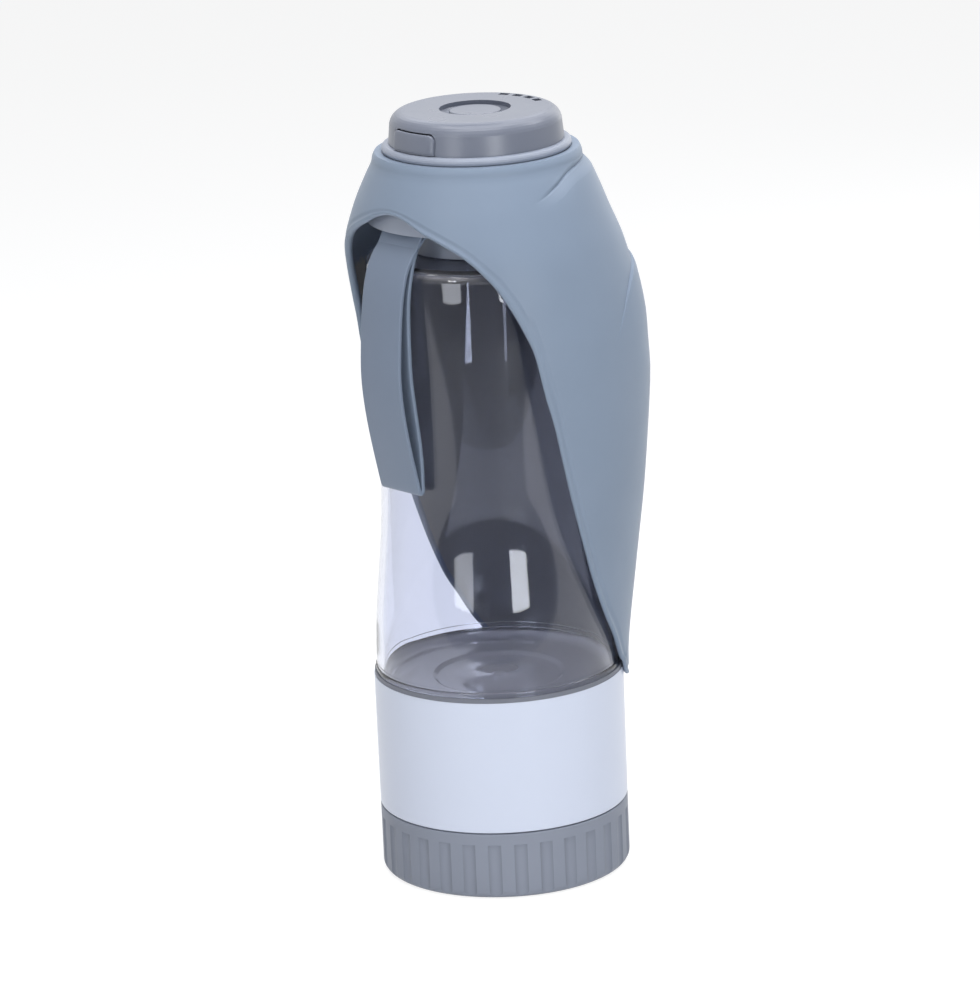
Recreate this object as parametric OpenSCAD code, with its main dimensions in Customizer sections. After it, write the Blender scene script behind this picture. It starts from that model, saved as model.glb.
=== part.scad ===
// Travel water bottle for a dog, with a food cup below and a flip-over drinking leaf.
// Millimetres. Z is up, the strap and the push button face -Y, the leaf's spine is +Y.
// The origin is the centre of the base cap's bottom face.

/* [Base cap] */
// Outer radius of the base cap
base_r = 39; // [35:0.5:44]
// Height of the base cap
base_h = 21.3; // [17:0.1:28]
// Wall of the base cap
base_wall = 2.4; // [1.8:0.1:3.2]
// Floor of the base cap
base_floor = 2.4; // [1.6:0.1:3.6]
// Rounding of the base cap's bottom edge
base_edge_r = 2.6; // [1:0.1:3]
// Number of grip flutes
flute_count = 30; // [16:1:40]
// Depth of a grip flute
flute_depth = 0.6; // [0.3:0.05:1]
// Radius of a grip flute's hollow
flute_r = 4.2; // [3:0.1:6]
// Plain band above the grip flutes
flute_band = 3.6; // [2:0.1:6]
// Thickness of the base cap's sealing ring
base_seal_h = 1.6; // [1:0.1:2.4]
// Width of the base cap's sealing ring
base_seal_w = 2.4; // [1.5:0.1:4]

/* [Food cup] */
// Visible height of the food cup
cup_h = 42.2; // [34:0.1:54]
// Growth in radius from the foot of the cup to its rim
cup_draft = 0.1; // [0:0.05:0.4]
// Wall of the food cup
cup_wall = 2.4; // [1.8:0.1:3.2]
// Wall of the cup's screw neck
cup_neck_wall = 2.2; // [1.6:0.1:3]
// Ledge inside the cup that the bottle's foot stands on
cup_ledge = 1; // [0.6:0.1:1.6]
// Thickness of the ring between cup and bottle
cup_seal_h = 1.4; // [1:0.1:2.2]

/* [Bottle] */
// Height of the bottle from its foot ring to its shoulder
bottle_h = 134.8; // [110:0.5:160]
// Height of the foot ring
foot_ring_h = 1.8; // [1.2:0.1:3]
// Inset of the foot ring behind the cup's rim
foot_ring_inset = 0.6; // [0.3:0.1:1.2]
// How far the bottle's wall stands in from the base cap's side just above the foot ring
foot_inset = 0.8; // [0.5:0.1:2]
// How far the waist stands in from the base cap's side
waist_inset = 4.8; // [3:0.1:7]
// How far the shoulder stands in from the base cap's side
shoulder_inset = 3.2; // [2:0.1:5]
// Rounding of the shoulder
shoulder_edge_r = 4.2; // [2:0.1:7]
// Wall of the bottle
bottle_wall = 2; // [1.4:0.1:3]
// Length of the spigot that sits in the cup
spigot_l = 7; // [5:0.1:10]
// Wall of the spigot
spigot_wall = 2.6; // [1.8:0.1:3.4]
// Thickness of the bottle's floor
floor_t = 3; // [2:0.1:4]
// Depth of the floor's top below the foot ring
floor_drop = 3.2; // [2:0.1:4]
// Radius of the round recess in the floor
recess_r = 19.5; // [14:0.5:24]
// Depth of the round recess in the floor
recess_depth = 1; // [0.5:0.1:1.5]
// How far the neck stands in from the shoulder's side
neck_inset = 15.4; // [13:0.1:17]
// Wall of the neck
neck_wall = 2.6; // [2:0.1:3.4]
// Height of the neck
neck_h = 13; // [10:0.1:17]

/* [Dispenser body] */
// Wall of the screw skirt
skirt_wall = 2.5; // [1.8:0.1:3.4]
// Thickness of the neck's sealing ring
neck_seal_h = 1.6; // [1:0.1:2.4]
// Thickness of the deck that holds the valve
deck_t = 2.4; // [1.8:0.1:3.4]
// Height from the underside of the deck to the collar's top
head_h = 18.1; // [16:0.1:22]
// Space between the bell's rim and the leaf
bell_gap = 3.3; // [2.5:0.1:4.5]
// How far the bell's rim hangs below the deck
bell_drop = 5.3; // [4:0.1:6]
// Wall of the bell
bell_wall = 1.8; // [1.4:0.1:2.4]
// How far the collar stands out from the cap's side
collar_proud = 2.2; // [1.4:0.1:3]
// Radius of the collar's rounding
collar_tube_r = 1.5; // [1:0.1:2]

/* [Cap] */
// How far the cap's side stands in from the base cap's side
cap_inset = 12; // [11:0.1:14]
// Height of the cap
cap_h = 9.8; // [9.6:0.1:11]
// Wall of the cap
cap_wall = 1.8; // [1.5:0.1:2]
// Rounding of the cap's top edge
cap_edge_r = 4.6; // [3:0.1:5.5]
// Draft of the cap's side
cap_draft = 0.5; // [0.2:0.1:0.8]
// Radius of the round dish in the cap's top
dish_r = 11; // [10.8:0.1:11.6]
// Depth of the dish
dish_depth = 2.7; // [2.2:0.1:2.9]
// Length of the cap's plug below its rim
plug_l = 3; // [2.4:0.1:3.6]
// Wall of the cap's plug
plug_wall = 2.4; // [2.2:0.1:2.8]
// Number of water slots
slot_count = 4; // [2:1:6]
// Width of a water slot
slot_w = 3.2; // [2.4:0.1:3.6]
// Length of a water slot
slot_l = 2.4; // [1.6:0.1:2.8]
// Distance from one slot to the next
slot_pitch = 5; // [4.4:0.1:5.4]
// Distance of the slots from the cap's side
slot_inset = 6.5; // [5.8:0.1:7]

/* [Push button] */
// Width of the push button
button_w = 17.6; // [14:0.1:20]
// Height of the push button
button_h = 6.2; // [5.8:0.1:6.8]
// How far the push button stands out of the cap's side
button_proud = 0.6; // [0.3:0.1:1.4]
// Travel of the push button
button_travel = 2.5; // [1.5:0.1:2.6]
// Rounding of the push button's upper corners
button_corner_r = 2.2; // [1:0.1:2.6]
// Width of the slider behind the push button
tongue_w = 9; // [7.6:0.1:9.4]
// Thickness of the slider
tongue_t = 1.7; // [1.5:0.1:1.9]
// Slope of the wedge that presses the valve stem
wedge_slope_share = 0.6; // [0.4:0.05:0.7]

/* [Valve] */
// Distance of the valve's middle from the wall of the neck
valve_inset = 8.8; // [8:0.1:9.4]
// Radius of the valve stem
stem_r = 1.6; // [1.2:0.1:1.8]
// Radius of the valve's sealing disc
disc_r = 6.5; // [6.1:0.1:7]
// Thickness of the valve's sealing disc
disc_h = 2.2; // [1.6:0.1:2.8]
// Radius of a water hole in the deck
water_hole_r = 1.3; // [0.9:0.1:1.35]
// Number of water holes in the deck
water_hole_count = 6; // [4:1:7]
// Height of the stem's guide on the deck
guide_h = 7; // [5:0.1:8]

/* [Lock knob] */
// Radius of the lock knob
knob_r = 8; // [7:0.1:8.2]
// Height of the lock knob
knob_h = 2.1; // [1.6:0.1:2.2]
// Radius of the knob's shaft
shaft_r = 2.5; // [2:0.1:2.8]
// Half of the angle that the shutter covers
shutter_half_angle = 30; // [27:1:34]

/* [Drinking leaf] */
// How far the leaf's tip laps over the food cup
leaf_lap = 8.6; // [4:0.1:20]
// How far the leaf's neck ring stands out from the collar
leaf_neck_proud = 2.1; // [1.8:0.1:2.6]
// How far the widest stretch of the leaf stands out from the base cap's side
leaf_spread = 6.2; // [5:0.1:9]
// How far the leaf's tip stands out from the base cap's side
leaf_tip_proud = 1.6; // [1.4:0.1:4]
// How far the widest stretch is set back behind the bottle's axis
leaf_back = 7.2; // [5:0.1:9]
// Wall of the leaf
leaf_wall = 2.2; // [1.8:0.1:2.4]
// Wall of the leaf at its tip
leaf_tip_wall = 1.4; // [1:0.1:1.6]
// Height of the leaf's band above the arch
leaf_band = 14.8; // [12:0.1:17]
// Height of the leaf's overlapping folds
leaf_fold = 1.1; // [0.4:0.1:1.6]

/* [Strap] */
// Width of the strap
strap_w = 17.5; // [14:0.5:20]
// Height of the hanging loop
strap_h = 77; // [60:0.5:90]
// Thickness of the strap
strap_t = 1.3; // [1:0.1:1.5]
// How far the loop bows out from its top end
strap_bow = 10; // [7:0.1:13]
// Widest space between the middles of the loop's two layers
strap_gap = 4.9; // [4:0.1:5.6]
// Radius of the pin that the strap hangs from
strap_pin_r = 1.25; // [1:0.05:1.4]

/* [Hidden] */

// Colours
cap_gray = [0.62, 0.64, 0.70];
base_gray = [0.56, 0.58, 0.62];
silicone_blue = [0.55, 0.62, 0.69];
strap_blue = [0.49, 0.54, 0.61];
cup_white = [0.93, 0.94, 0.97];
clear_plastic = [0.80, 0.86, 0.92, 0.35];
seal_gray = [0.56, 0.57, 0.62];
valve_white = [0.88, 0.89, 0.90];
spring_steel = [0.75, 0.76, 0.78];

// Clearances
overrun = 1;
face_gap = 0.05;
seam_gap = 0.3;
screw_gap = 0.1;
slide_gap = 0.2;
soft_gap = 0.3;
turn_gap = 0.05;
small_edge_r = 0.5;
round_steps = 8;
side_fn = 120;
part_fn = 64;
small_fn = 32;

// Radii that follow the base cap
foot_r = base_r - foot_inset;
waist_r = base_r - waist_inset;
shoulder_r = base_r - shoulder_inset;
neck_r = shoulder_r - neck_inset;
cap_r = base_r - cap_inset;
collar_r = cap_r + collar_proud;
slot_ring_r = cap_r - slot_inset;
leaf_neck_r = collar_r + leaf_neck_proud;
leaf_r = base_r + leaf_spread;
leaf_tip_r = base_r + leaf_tip_proud;

// Levels of the lower half, from the ground up
base_bore_r = base_r - base_wall;
cup_neck_r = base_bore_r - screw_gap;
cup_neck_z = base_floor + base_seal_h + face_gap;
cup_foot_z = base_h + seam_gap;
cup_rim_z = cup_foot_z + cup_h;
cup_top_r = base_r + cup_draft;
cup_bore_r = cup_top_r - cup_wall;
spigot_r = cup_bore_r - screw_gap;
ring_z = cup_rim_z + cup_seal_h;
spigot_z = ring_z - cup_seal_h - spigot_l;
ring_top_z = ring_z + foot_ring_h;
ring_r = cup_top_r - foot_ring_inset;
floor_top_z = ring_z - floor_drop;
floor_under_z = floor_top_z - floor_t;

// Levels of the bottle's top and of the dispenser
shoulder_z = ring_z + bottle_h;
neck_top_z = shoulder_z + neck_h;
neck_bore_r = neck_r - neck_wall;
valve_y = neck_bore_r - valve_inset;
neck_seal_z = neck_top_z + face_gap;
deck_z = neck_seal_z + neck_seal_h + face_gap;
deck_top_z = deck_z + deck_t;
skirt_bore_r = neck_r + screw_gap;
skirt_r = skirt_bore_r + skirt_wall;
skirt_z = shoulder_z + seam_gap;
collar_top_z = deck_z + head_h;
collar_z = collar_top_z - collar_tube_r;
collar_under_z = collar_z - collar_tube_r;
bell_rim_z = deck_z - bell_drop;
plug_r = cap_r - cap_wall - small_edge_r;
head_bore_r = plug_r + screw_gap;

// Levels of the cap
cap_z = collar_top_z + face_gap;
cap_top_z = cap_z + cap_h;
cap_roof_z = cap_top_z - cap_wall;
dish_z = cap_top_z - dish_depth;
dish_under_z = dish_z - cap_wall;
boss_r = dish_r + cap_wall;

// The bottle's outer radius at a height: two smooth stretches that meet at the waist
waist_share = 0.47;
waist_z = ring_top_z + waist_share * (shoulder_z - shoulder_edge_r - ring_top_z);
function ease(t) = (1 - cos(180 * min(max(t, 0), 1))) / 2;
function bottle_r(z) = z < waist_z
    ? foot_r + (waist_r - foot_r) * ease((z - ring_top_z) / (waist_z - ring_top_z))
    : waist_r + (shoulder_r - waist_r) * ease((z - waist_z) / (shoulder_z - shoulder_edge_r - waist_z));

// Points on an arc about (x, y), from angle a to angle b
function arc(x, y, r, a, b, n = round_steps) =
    [for (i = [0 : n]) [x + r * cos(a + (b - a) * i / n), y + r * sin(a + (b - a) * i / n)]];

// A smooth curve through the rows [x, y] of a table, read at x
function slope_at(t, i) = let (a = max(i - 1, 0), b = min(i + 1, len(t) - 1))
    (t[b][1] - t[a][1]) / (t[b][0] - t[a][0]);
function row_at(t, x, i = 0) = i >= len(t) - 2 || x <= t[i + 1][0] ? i : row_at(t, x, i + 1);
function curve_at(t, x) = let (i = row_at(t, x), h = t[i + 1][0] - t[i][0], u = (x - t[i][0]) / h)
    (2 * u ^ 3 - 3 * u ^ 2 + 1) * t[i][1] + (u ^ 3 - 2 * u ^ 2 + u) * slope_at(t, i) * h
    + (3 * u ^ 2 - 2 * u ^ 3) * t[i + 1][1] + (u ^ 3 - u ^ 2) * slope_at(t, i + 1) * h;

// A closed skin from a grid of points: rings of equal count, joined in order and round again
function skin_faces(rings, n) = [for (j = [0 : rings - 1], i = [0 : n - 1], k = [0, 1])
    let (a = j * n + i, b = j * n + (i + 1) % n,
         c = ((j + 1) % rings) * n + (i + 1) % n, d = ((j + 1) % rings) * n + i)
    k == 0 ? [a, c, b] : [a, d, c]];

// A tube round a list of points, with flat ends
function unit(v) = v / norm(v);
function tube_ring(p, t, r, n) = let (s = unit(cross(t, abs(t.z) > 0.7 ? [0, 1, 0] : [0, 0, 1])),
    q = cross(s, t)) [for (i = [0 : n - 1]) p + r * (cos(360 * i / n) * s + sin(360 * i / n) * q)];
module tube(path, r, n) {
    m = len(path);
    rings = [for (k = [0 : m - 1])
        tube_ring(path[k], unit(path[min(k + 1, m - 1)] - path[max(k - 1, 0)]), r, n)];
    sides = [for (j = [0 : m - 2], i = [0 : n - 1], k = [0, 1])
        let (a = j * n + i, b = j * n + (i + 1) % n, c = a + n, d = b + n)
        k == 0 ? [a, d, b] : [a, c, d]];
    caps = [[for (i = [0 : n - 1]) i], [for (i = [n - 1 : -1 : 0]) (m - 1) * n + i]];
    polyhedron(points = [for (g = rings) each g], faces = concat(sides, caps));
}

// A closed-end compression spring along Z, standing on z = 0
module spring(h, mean_r, wire_r, coils, steps = 10, sides = 6) {
    n = coils * steps;
    path = [for (k = [0 : n]) let (u = k / n, a = 360 * coils * u)
        [mean_r * cos(a), mean_r * sin(a), wire_r + (h - 2 * wire_r) * ease_ends(u)]];
    tube(path, wire_r, sides);
}
// Rises slowly at both ends, so that the end coils lie nearly flat
end_share = 0.12;
function ease_ends(u) = u < end_share ? u * u / (2 * end_share * (1 - end_share))
    : u > 1 - end_share ? 1 - (1 - u) * (1 - u) / (2 * end_share * (1 - end_share))
    : (u - end_share / 2) / (1 - end_share);

// A flat ring, and a ring of round section
module washer(r_out, r_in, h) rotate_extrude($fn = side_fn) translate([r_in, 0]) square([r_out - r_in, h]);
module o_ring(mean_r, wire_r) rotate_extrude($fn = side_fn) translate([mean_r, 0])
    circle(wire_r, $fn = small_fn);

// Screw cap below the food cup, with grip flutes round its side
module base_cap() color(base_gray) difference() {
    rotate_extrude($fn = side_fn) polygon(concat(
        [[0, 0]],
        arc(base_r - base_edge_r, base_edge_r, base_edge_r, -90, 0),
        arc(base_r - small_edge_r, base_h - small_edge_r, small_edge_r, 0, 90),
        [[base_bore_r, base_h], [base_bore_r, base_floor], [0, base_floor]]));
    for (i = [0 : flute_count - 1]) rotate([0, 0, 360 * i / flute_count])
        translate([base_r + flute_r - flute_depth, 0, -overrun])
            cylinder(r = flute_r, h = base_h - flute_band + overrun, $fn = small_fn);
}

// Flat sealing ring that the cup's neck presses on
module base_seal() color(seal_gray) translate([0, 0, base_floor])
    washer(base_bore_r - soft_gap, base_bore_r - soft_gap - base_seal_w, base_seal_h);

// White food cup: a straight wall with a screw neck below and a seat for the bottle above
cup_cone_h = 2.4;
module food_cup() color(cup_white) rotate_extrude($fn = side_fn) polygon(concat(
    [[cup_neck_r - cup_neck_wall, cup_neck_z], [cup_neck_r, cup_neck_z], [cup_neck_r, cup_foot_z]],
    arc(base_r - small_edge_r, cup_foot_z + small_edge_r, small_edge_r, -90, 0),
    [[cup_top_r, cup_rim_z], [cup_bore_r, cup_rim_z], [cup_bore_r, spigot_z - face_gap],
     [cup_bore_r - cup_ledge, spigot_z - face_gap],
     [cup_bore_r - cup_ledge, cup_foot_z + cup_cone_h],
     [cup_neck_r - cup_neck_wall, cup_foot_z]]));

// Grey ring that shows between the cup's rim and the clear bottle
module cup_seal() color(seal_gray) translate([0, 0, cup_rim_z])
    washer(cup_top_r - small_edge_r / 2, spigot_r + turn_gap, cup_seal_h);

// Clear bottle: spigot, ringed floor, waisted wall, round shoulder and screw neck
wall_steps = 28;
inner_floor_r = 3;
neck_fillet_r = 1;
shoulder_rise = 0.8;
shoulder_angle = 80;
wall_top_z = shoulder_z - shoulder_rise - shoulder_edge_r;
module bottle_body() color(clear_plastic) rotate_extrude($fn = side_fn) polygon(concat(
    [[0, floor_under_z], [spigot_r - spigot_wall, floor_under_z], [spigot_r - spigot_wall, spigot_z],
     [spigot_r, spigot_z], [spigot_r, ring_z], [ring_r, ring_z], [ring_r, ring_top_z]],
    [for (i = [0 : wall_steps]) let (z = ring_top_z + (wall_top_z - ring_top_z) * i / wall_steps)
        [bottle_r(z), z]],
    arc(shoulder_r - shoulder_edge_r, wall_top_z, shoulder_edge_r, 0, shoulder_angle),
    [[neck_r + neck_fillet_r, shoulder_z]],
    arc(neck_r + neck_fillet_r, shoulder_z + neck_fillet_r, neck_fillet_r, -90, -180, 4),
    [[neck_r, neck_top_z], [neck_bore_r, neck_top_z], [neck_bore_r, shoulder_z - bottle_wall]],
    arc(shoulder_r - shoulder_edge_r, wall_top_z, shoulder_edge_r - bottle_wall, shoulder_angle, 0),
    [for (i = [wall_steps : -1 : 1]) let (z = ring_top_z + (wall_top_z - ring_top_z) * i / wall_steps)
        [bottle_r(z) - bottle_wall, z]],
    arc(foot_r - bottle_wall - inner_floor_r, floor_top_z + inner_floor_r, inner_floor_r, 0, -90),
    [[recess_r + recess_depth, floor_top_z], [recess_r, floor_top_z - recess_depth],
     [0, floor_top_z - recess_depth]]));

// Flat sealing ring on the neck
module neck_seal() color(seal_gray) translate([0, 0, neck_seal_z])
    washer(neck_r - turn_gap, neck_bore_r, neck_seal_h);

// The leaf's neck ring sits on the bell, so both take their cone from here
leaf_top_z = collar_z - small_edge_r * 2;
leaf_tip_z = ring_z - leaf_lap;
leaf_len = leaf_top_z - leaf_tip_z;
// Rows of [share of the way down, share of the rise from the neck ring's radius to the widest]
leaf_upper_shares = [[0, 0], [0.024, 0.122], [0.093, 0.511], [0.174, 0.856], [0.289, 1.054],
    [0.36, 1.08], [0.433, 1.036], [0.606, 0.842], [0.778, 0.565], [0.922, 0.535], [1, 0.669]];
// Rows of [share of the way down, share of the set-back]
leaf_back_shares = [[0, 0], [0.093, 0], [0.174, 0.172], [0.289, 0.526], [0.36, 0.66], [0.433, 0.885],
    [0.606, 1], [0.778, 1], [0.922, 0.46], [1, 0.05]];
leaf_end_share = 0.669;
thinning_share = 0.6;
function down(z) = (leaf_top_z - z) / leaf_len;
function leaf_radius(z) = leaf_neck_r + (leaf_r - leaf_neck_r) * curve_at(leaf_upper_shares, down(z))
    + (leaf_tip_r - leaf_neck_r - (leaf_r - leaf_neck_r) * leaf_end_share) * down(z) ^ 4;
function leaf_setback(z) = leaf_back * curve_at(leaf_back_shares, down(z));
function leaf_thickness(z) = leaf_wall + (leaf_tip_wall - leaf_wall) * ease((down(z) - thinning_share) / (1 - thinning_share));

// Bell, deck, screw skirt and collar in one moulding
seat_z = collar_under_z - small_edge_r * 7;
function bell_seat_r(z) = leaf_radius(z) - leaf_wall - soft_gap;
bell_r = leaf_radius(bell_rim_z) - leaf_wall - bell_gap;
lug_w = 2;
lug_x = strap_w / 2 + lug_w / 2 + soft_gap * 2;
pin_inset = 4.83;
pin_y = -(bell_r - bell_wall - pin_inset);
pin_z = bell_rim_z + strap_pin_r + collar_tube_r / 1.4;
lug_depth = strap_pin_r + collar_tube_r * 1.2;
rail_l = 6;
rail_w = 1.5;
module dispenser_body() color(cap_gray) difference() {
    union() {
        rotate_extrude($fn = side_fn) polygon(concat(
            [[0, deck_z], [skirt_bore_r, deck_z], [skirt_bore_r, skirt_z + neck_fillet_r],
             [skirt_bore_r + neck_fillet_r, skirt_z], [skirt_r, skirt_z],
             [skirt_r, deck_z], [bell_inner_r(deck_z), deck_z], [bell_inner_r(bell_rim_z), bell_rim_z],
             [bell_r, bell_rim_z], [bell_seat_r(seat_z), seat_z],
             [bell_seat_r(collar_under_z), collar_under_z]],
            arc(collar_r - collar_tube_r, collar_z, collar_tube_r, -90, 90),
            [[head_bore_r, collar_top_z], [head_bore_r, collar_under_z - collar_tube_r],
             [bell_inner_r(seat_z) - bell_wall, seat_z - bell_wall],
             [bell_inner_r(deck_top_z), deck_top_z], [0, deck_top_z]]));
        translate([0, valve_y, deck_top_z - face_gap])
            cylinder(r = guide_r, h = guide_h + face_gap, $fn = part_fn);
        for (s = [-1, 1]) lug(s);
    }
    translate([0, valve_y, deck_z - overrun])
        cylinder(r = stem_r + turn_gap, h = deck_t + guide_h + 2 * overrun, $fn = part_fn);
    for (i = [0 : water_hole_count - 1]) translate([0, valve_y, deck_z - overrun])
        rotate([0, 0, 360 * i / water_hole_count]) translate([guide_r + water_hole_r + turn_gap, 0, 0])
            cylinder(r = water_hole_r, h = deck_t + 2 * overrun, $fn = small_fn);
    translate([-lug_x - lug_w, pin_y, pin_z]) rotate([0, 90, 0])
        cylinder(r = strap_pin_r + turn_gap, h = 2 * (lug_x + lug_w), $fn = part_fn);
}
guide_r = stem_r * 2;
function bell_inner_r(z) = bell_r - bell_wall + (bell_seat_r(seat_z) - bell_r)
    * (z - bell_rim_z) / (seat_z - bell_rim_z);
module lug(s) translate([s * lug_x - lug_w / 2, pin_y - lug_depth, bell_rim_z])
    cube([lug_w, 2 * lug_depth, bell_drop + face_gap]);

// Silicone leaf: a closed ring at the neck, an arch in front and a long tongue down the back
leaf_columns = 64;
// Rows of [angle from the front, height of the edge as a share of the leaf below its band]
edge_shares = [[-20, 0.973], [-10, 0.992], [0, 1], [10, 0.992], [20, 0.973], [30, 0.954],
    [39, 0.931], [46, 0.902], [52, 0.866], [56.5, 0.824], [60, 0.781], [63.5, 0.726], [66.5, 0.63],
    [71, 0.509], [77, 0.394], [83, 0.308], [88.5, 0.248], [97, 0.184], [107, 0.13], [118, 0.072],
    [128, 0.034], [140, 0.014], [160, 0.003], [180, 0], [200, 0.003]];
// Rows of [angle from the front, height as a share of the leaf] for the two folds
fold_one_shares = [[0, 0.94], [75, 0.936], [92, 0.947], [114, 0.966], [130, 0.97], [180, 0.972]];
fold_two_shares = [[0, 0.64], [97, 0.66], [108, 0.716], [117, 0.753], [130, 0.778], [180, 0.80]];
function edge_z(a) = leaf_tip_z + (leaf_len - leaf_band) * curve_at(edge_shares, a);
function fold_one_z(a) = leaf_tip_z + leaf_len * curve_at(fold_one_shares, a);
least_drop_share = 0.5;
function fold_two_z(a) = max(leaf_tip_z + leaf_len * curve_at(fold_two_shares, a),
    edge_z(a) + least_drop_share * (fold_one_z(a) - edge_z(a)));
fold_lip = 0.5;
lip_share = 0.1;
fold_one_start = 72;
fold_one_spread = 45;
fold_one_fade = 1.6;
fold_two_start = 97;
fold_two_spread = 30;
fold_two_fade = 2;
upper_rows = 3;
middle_rows = 7;
lower_rows = 9;
// Heights of the rows of points in one column, with a close pair at each fold
function column_z(a) = let (one = fold_one_z(a), two = fold_two_z(a), low = edge_z(a),
    lip = min(fold_lip, lip_share * (two - low))) concat(
    [for (k = [0 : upper_rows - 1]) leaf_top_z + (one + lip - leaf_top_z) * k / (upper_rows - 1)],
    [for (k = [0 : middle_rows - 1]) one - lip + (two - one + 2 * lip) * k / (middle_rows - 1)],
    [for (k = [0 : lower_rows - 1]) two - lip + (low - two + lip) * k / (lower_rows - 1)]);
// How much a fold stands out: full at the back, nothing at the front, fading downwards
function fold_rise(a, z) = let (one = fold_one_z(a), two = fold_two_z(a))
    z > one ? 0 : z > two
        ? leaf_fold * ease((a - fold_one_start) / fold_one_spread)
            * (1 - ease(fold_one_fade * (one - z) / (one - two)))
        : leaf_fold * ease((a - fold_two_start) / fold_two_spread)
            * (1 - ease(fold_two_fade * (two - z) / (two - edge_z(a) + fold_lip)));
// What the leaf must stay clear of at a height: the cup, the foot ring or the bottle's wall
function core_r(z) = z > bell_rim_z ? 0 : z < ring_top_z + overrun ? cup_top_r : bottle_r(z);
// A point of the leaf at angle t round it, pushed out to clear what is inside
function leaf_point(t, z, inset, rise) = let (
    r = leaf_radius(z) + rise - inset, x = r * sin(t), y = leaf_setback(z) - r * cos(t),
    least = core_r(z) + soft_gap + leaf_thickness(z) - inset, far = norm([x, y]), k = max(1, least / far))
    [x * k, y * k, z];
function front_angle(t) = t > 180 ? 360 - t : t;
function leaf_column(t) = let (a = front_angle(t), zs = column_z(a), n = len(zs)) concat(
    [for (z = zs) leaf_point(t, z, 0, fold_rise(a, z))],
    [for (j = [n - 1 : -1 : 0]) leaf_point(t, zs[j], leaf_thickness(zs[j]), 0)]);
module drinking_leaf() color(silicone_blue) {
    columns = [for (i = [0 : leaf_columns - 1]) leaf_column(360 * i / leaf_columns)];
    polyhedron(points = [for (c = columns) each c],
        faces = skin_faces(leaf_columns, len(columns[0])));
}

// Pin below the bell that carries the strap
module strap_pin() color(cap_gray) translate([-lug_x - lug_w / 2, pin_y, pin_z]) rotate([0, 90, 0])
    cylinder(r = strap_pin_r, h = 2 * lug_x + lug_w, $fn = part_fn);

// The strap bends where it leaves the bell: above that line it is held, below it the loop swings
hinge_y = -(bell_r - bell_wall / 1.3);
hinge_z = bell_rim_z - strap_t * 1.85;
anchor_t = strap_t * 1.4;
anchor_gap = soft_gap / 2;
module across(w) translate([-w / 2, 0, 0]) rotate([90, 0, 90]) linear_extrude(w) children();
module strap_anchor() color(strap_blue) across(strap_w) difference() {
    union() {
        translate([pin_y, pin_z]) circle(strap_pin_r + soft_gap + strap_t / 1.2, $fn = part_fn);
        translate([pin_y, pin_z]) rotate(atan2(hinge_z - pin_z, hinge_y - pin_y))
            translate([0, -anchor_t / 2]) square([norm([hinge_y - pin_y, hinge_z - pin_z]), anchor_t]);
    }
    translate([pin_y, pin_z]) circle(strap_pin_r + turn_gap, $fn = part_fn);
    translate([hinge_y, hinge_z]) circle(strap_t + anchor_gap, $fn = part_fn);
}

// Hanging loop of the strap: an outer layer, an inner layer behind it and a close fold at the bottom
// Rows of [share of the way down, share of the bow]
strap_outer_shares = [[0, 0], [0.05, 0.33], [0.1, 0.52], [0.17, 0.7], [0.29, 0.86], [0.42, 0.955],
    [0.53, 1], [0.64, 0.94], [0.75, 0.81], [0.87, 0.62], [1, 0.39]];
// Rows of [share of the way down, share of the space between the layers]
strap_gap_shares = [[0, 0], [0.05, 0.3], [0.12, 0.49], [0.2, 0.56], [0.3, 0.69], [0.42, 0.83],
    [0.55, 0.96], [0.66, 1], [0.78, 0.93], [0.88, 0.74], [0.95, 0.5], [1, 0.29]];
strap_steps = 22;
function strap_at(u) = [hinge_y - strap_bow * curve_at(strap_outer_shares, u), hinge_z - strap_h * u];
function strap_dir(u) = unit(strap_at(min(u + 0.01, 1)) - strap_at(max(u - 0.01, 0)));
// Point beside the outer layer's middle line, d towards the bottle
function beside(u, d) = let (t = strap_dir(u)) strap_at(u) + d * [-t.y, t.x];
function layer_gap(u) = strap_gap * curve_at(strap_gap_shares, u);
slit_top_share = 0.055;
slit_end_share = 0.985;
module strap_loop() color(strap_blue) across(strap_w) difference() {
    union() {
        polygon(concat(
            [for (k = [0 : strap_steps]) beside(k / strap_steps, -strap_t / 2)],
            [for (k = [strap_steps : -1 : 0]) beside(k / strap_steps,
                strap_t / 2 + layer_gap(k / strap_steps))]));
        translate([hinge_y, hinge_z]) circle(strap_t, $fn = part_fn);
        translate(beside(1, layer_gap(1) / 2)) circle((layer_gap(1) + strap_t) / 2, $fn = part_fn);
    }
    polygon(concat(
        [for (k = [0 : strap_steps]) let (u = slit_top_share
            + (slit_end_share - slit_top_share) * k / strap_steps) beside(u, strap_t / 2)],
        [for (k = [strap_steps : -1 : 0]) let (u = slit_top_share
            + (slit_end_share - slit_top_share) * k / strap_steps)
            beside(u, max(layer_gap(u) - strap_t / 2, strap_t / 2 + face_gap))]));
}

// The cap's outer section, grown by g
function cap_side(g) = concat(
    [[cap_r + g, cap_z]],
    arc(cap_r - cap_draft - cap_edge_r, cap_top_z - cap_edge_r, cap_edge_r + g, 0, 90));
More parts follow.
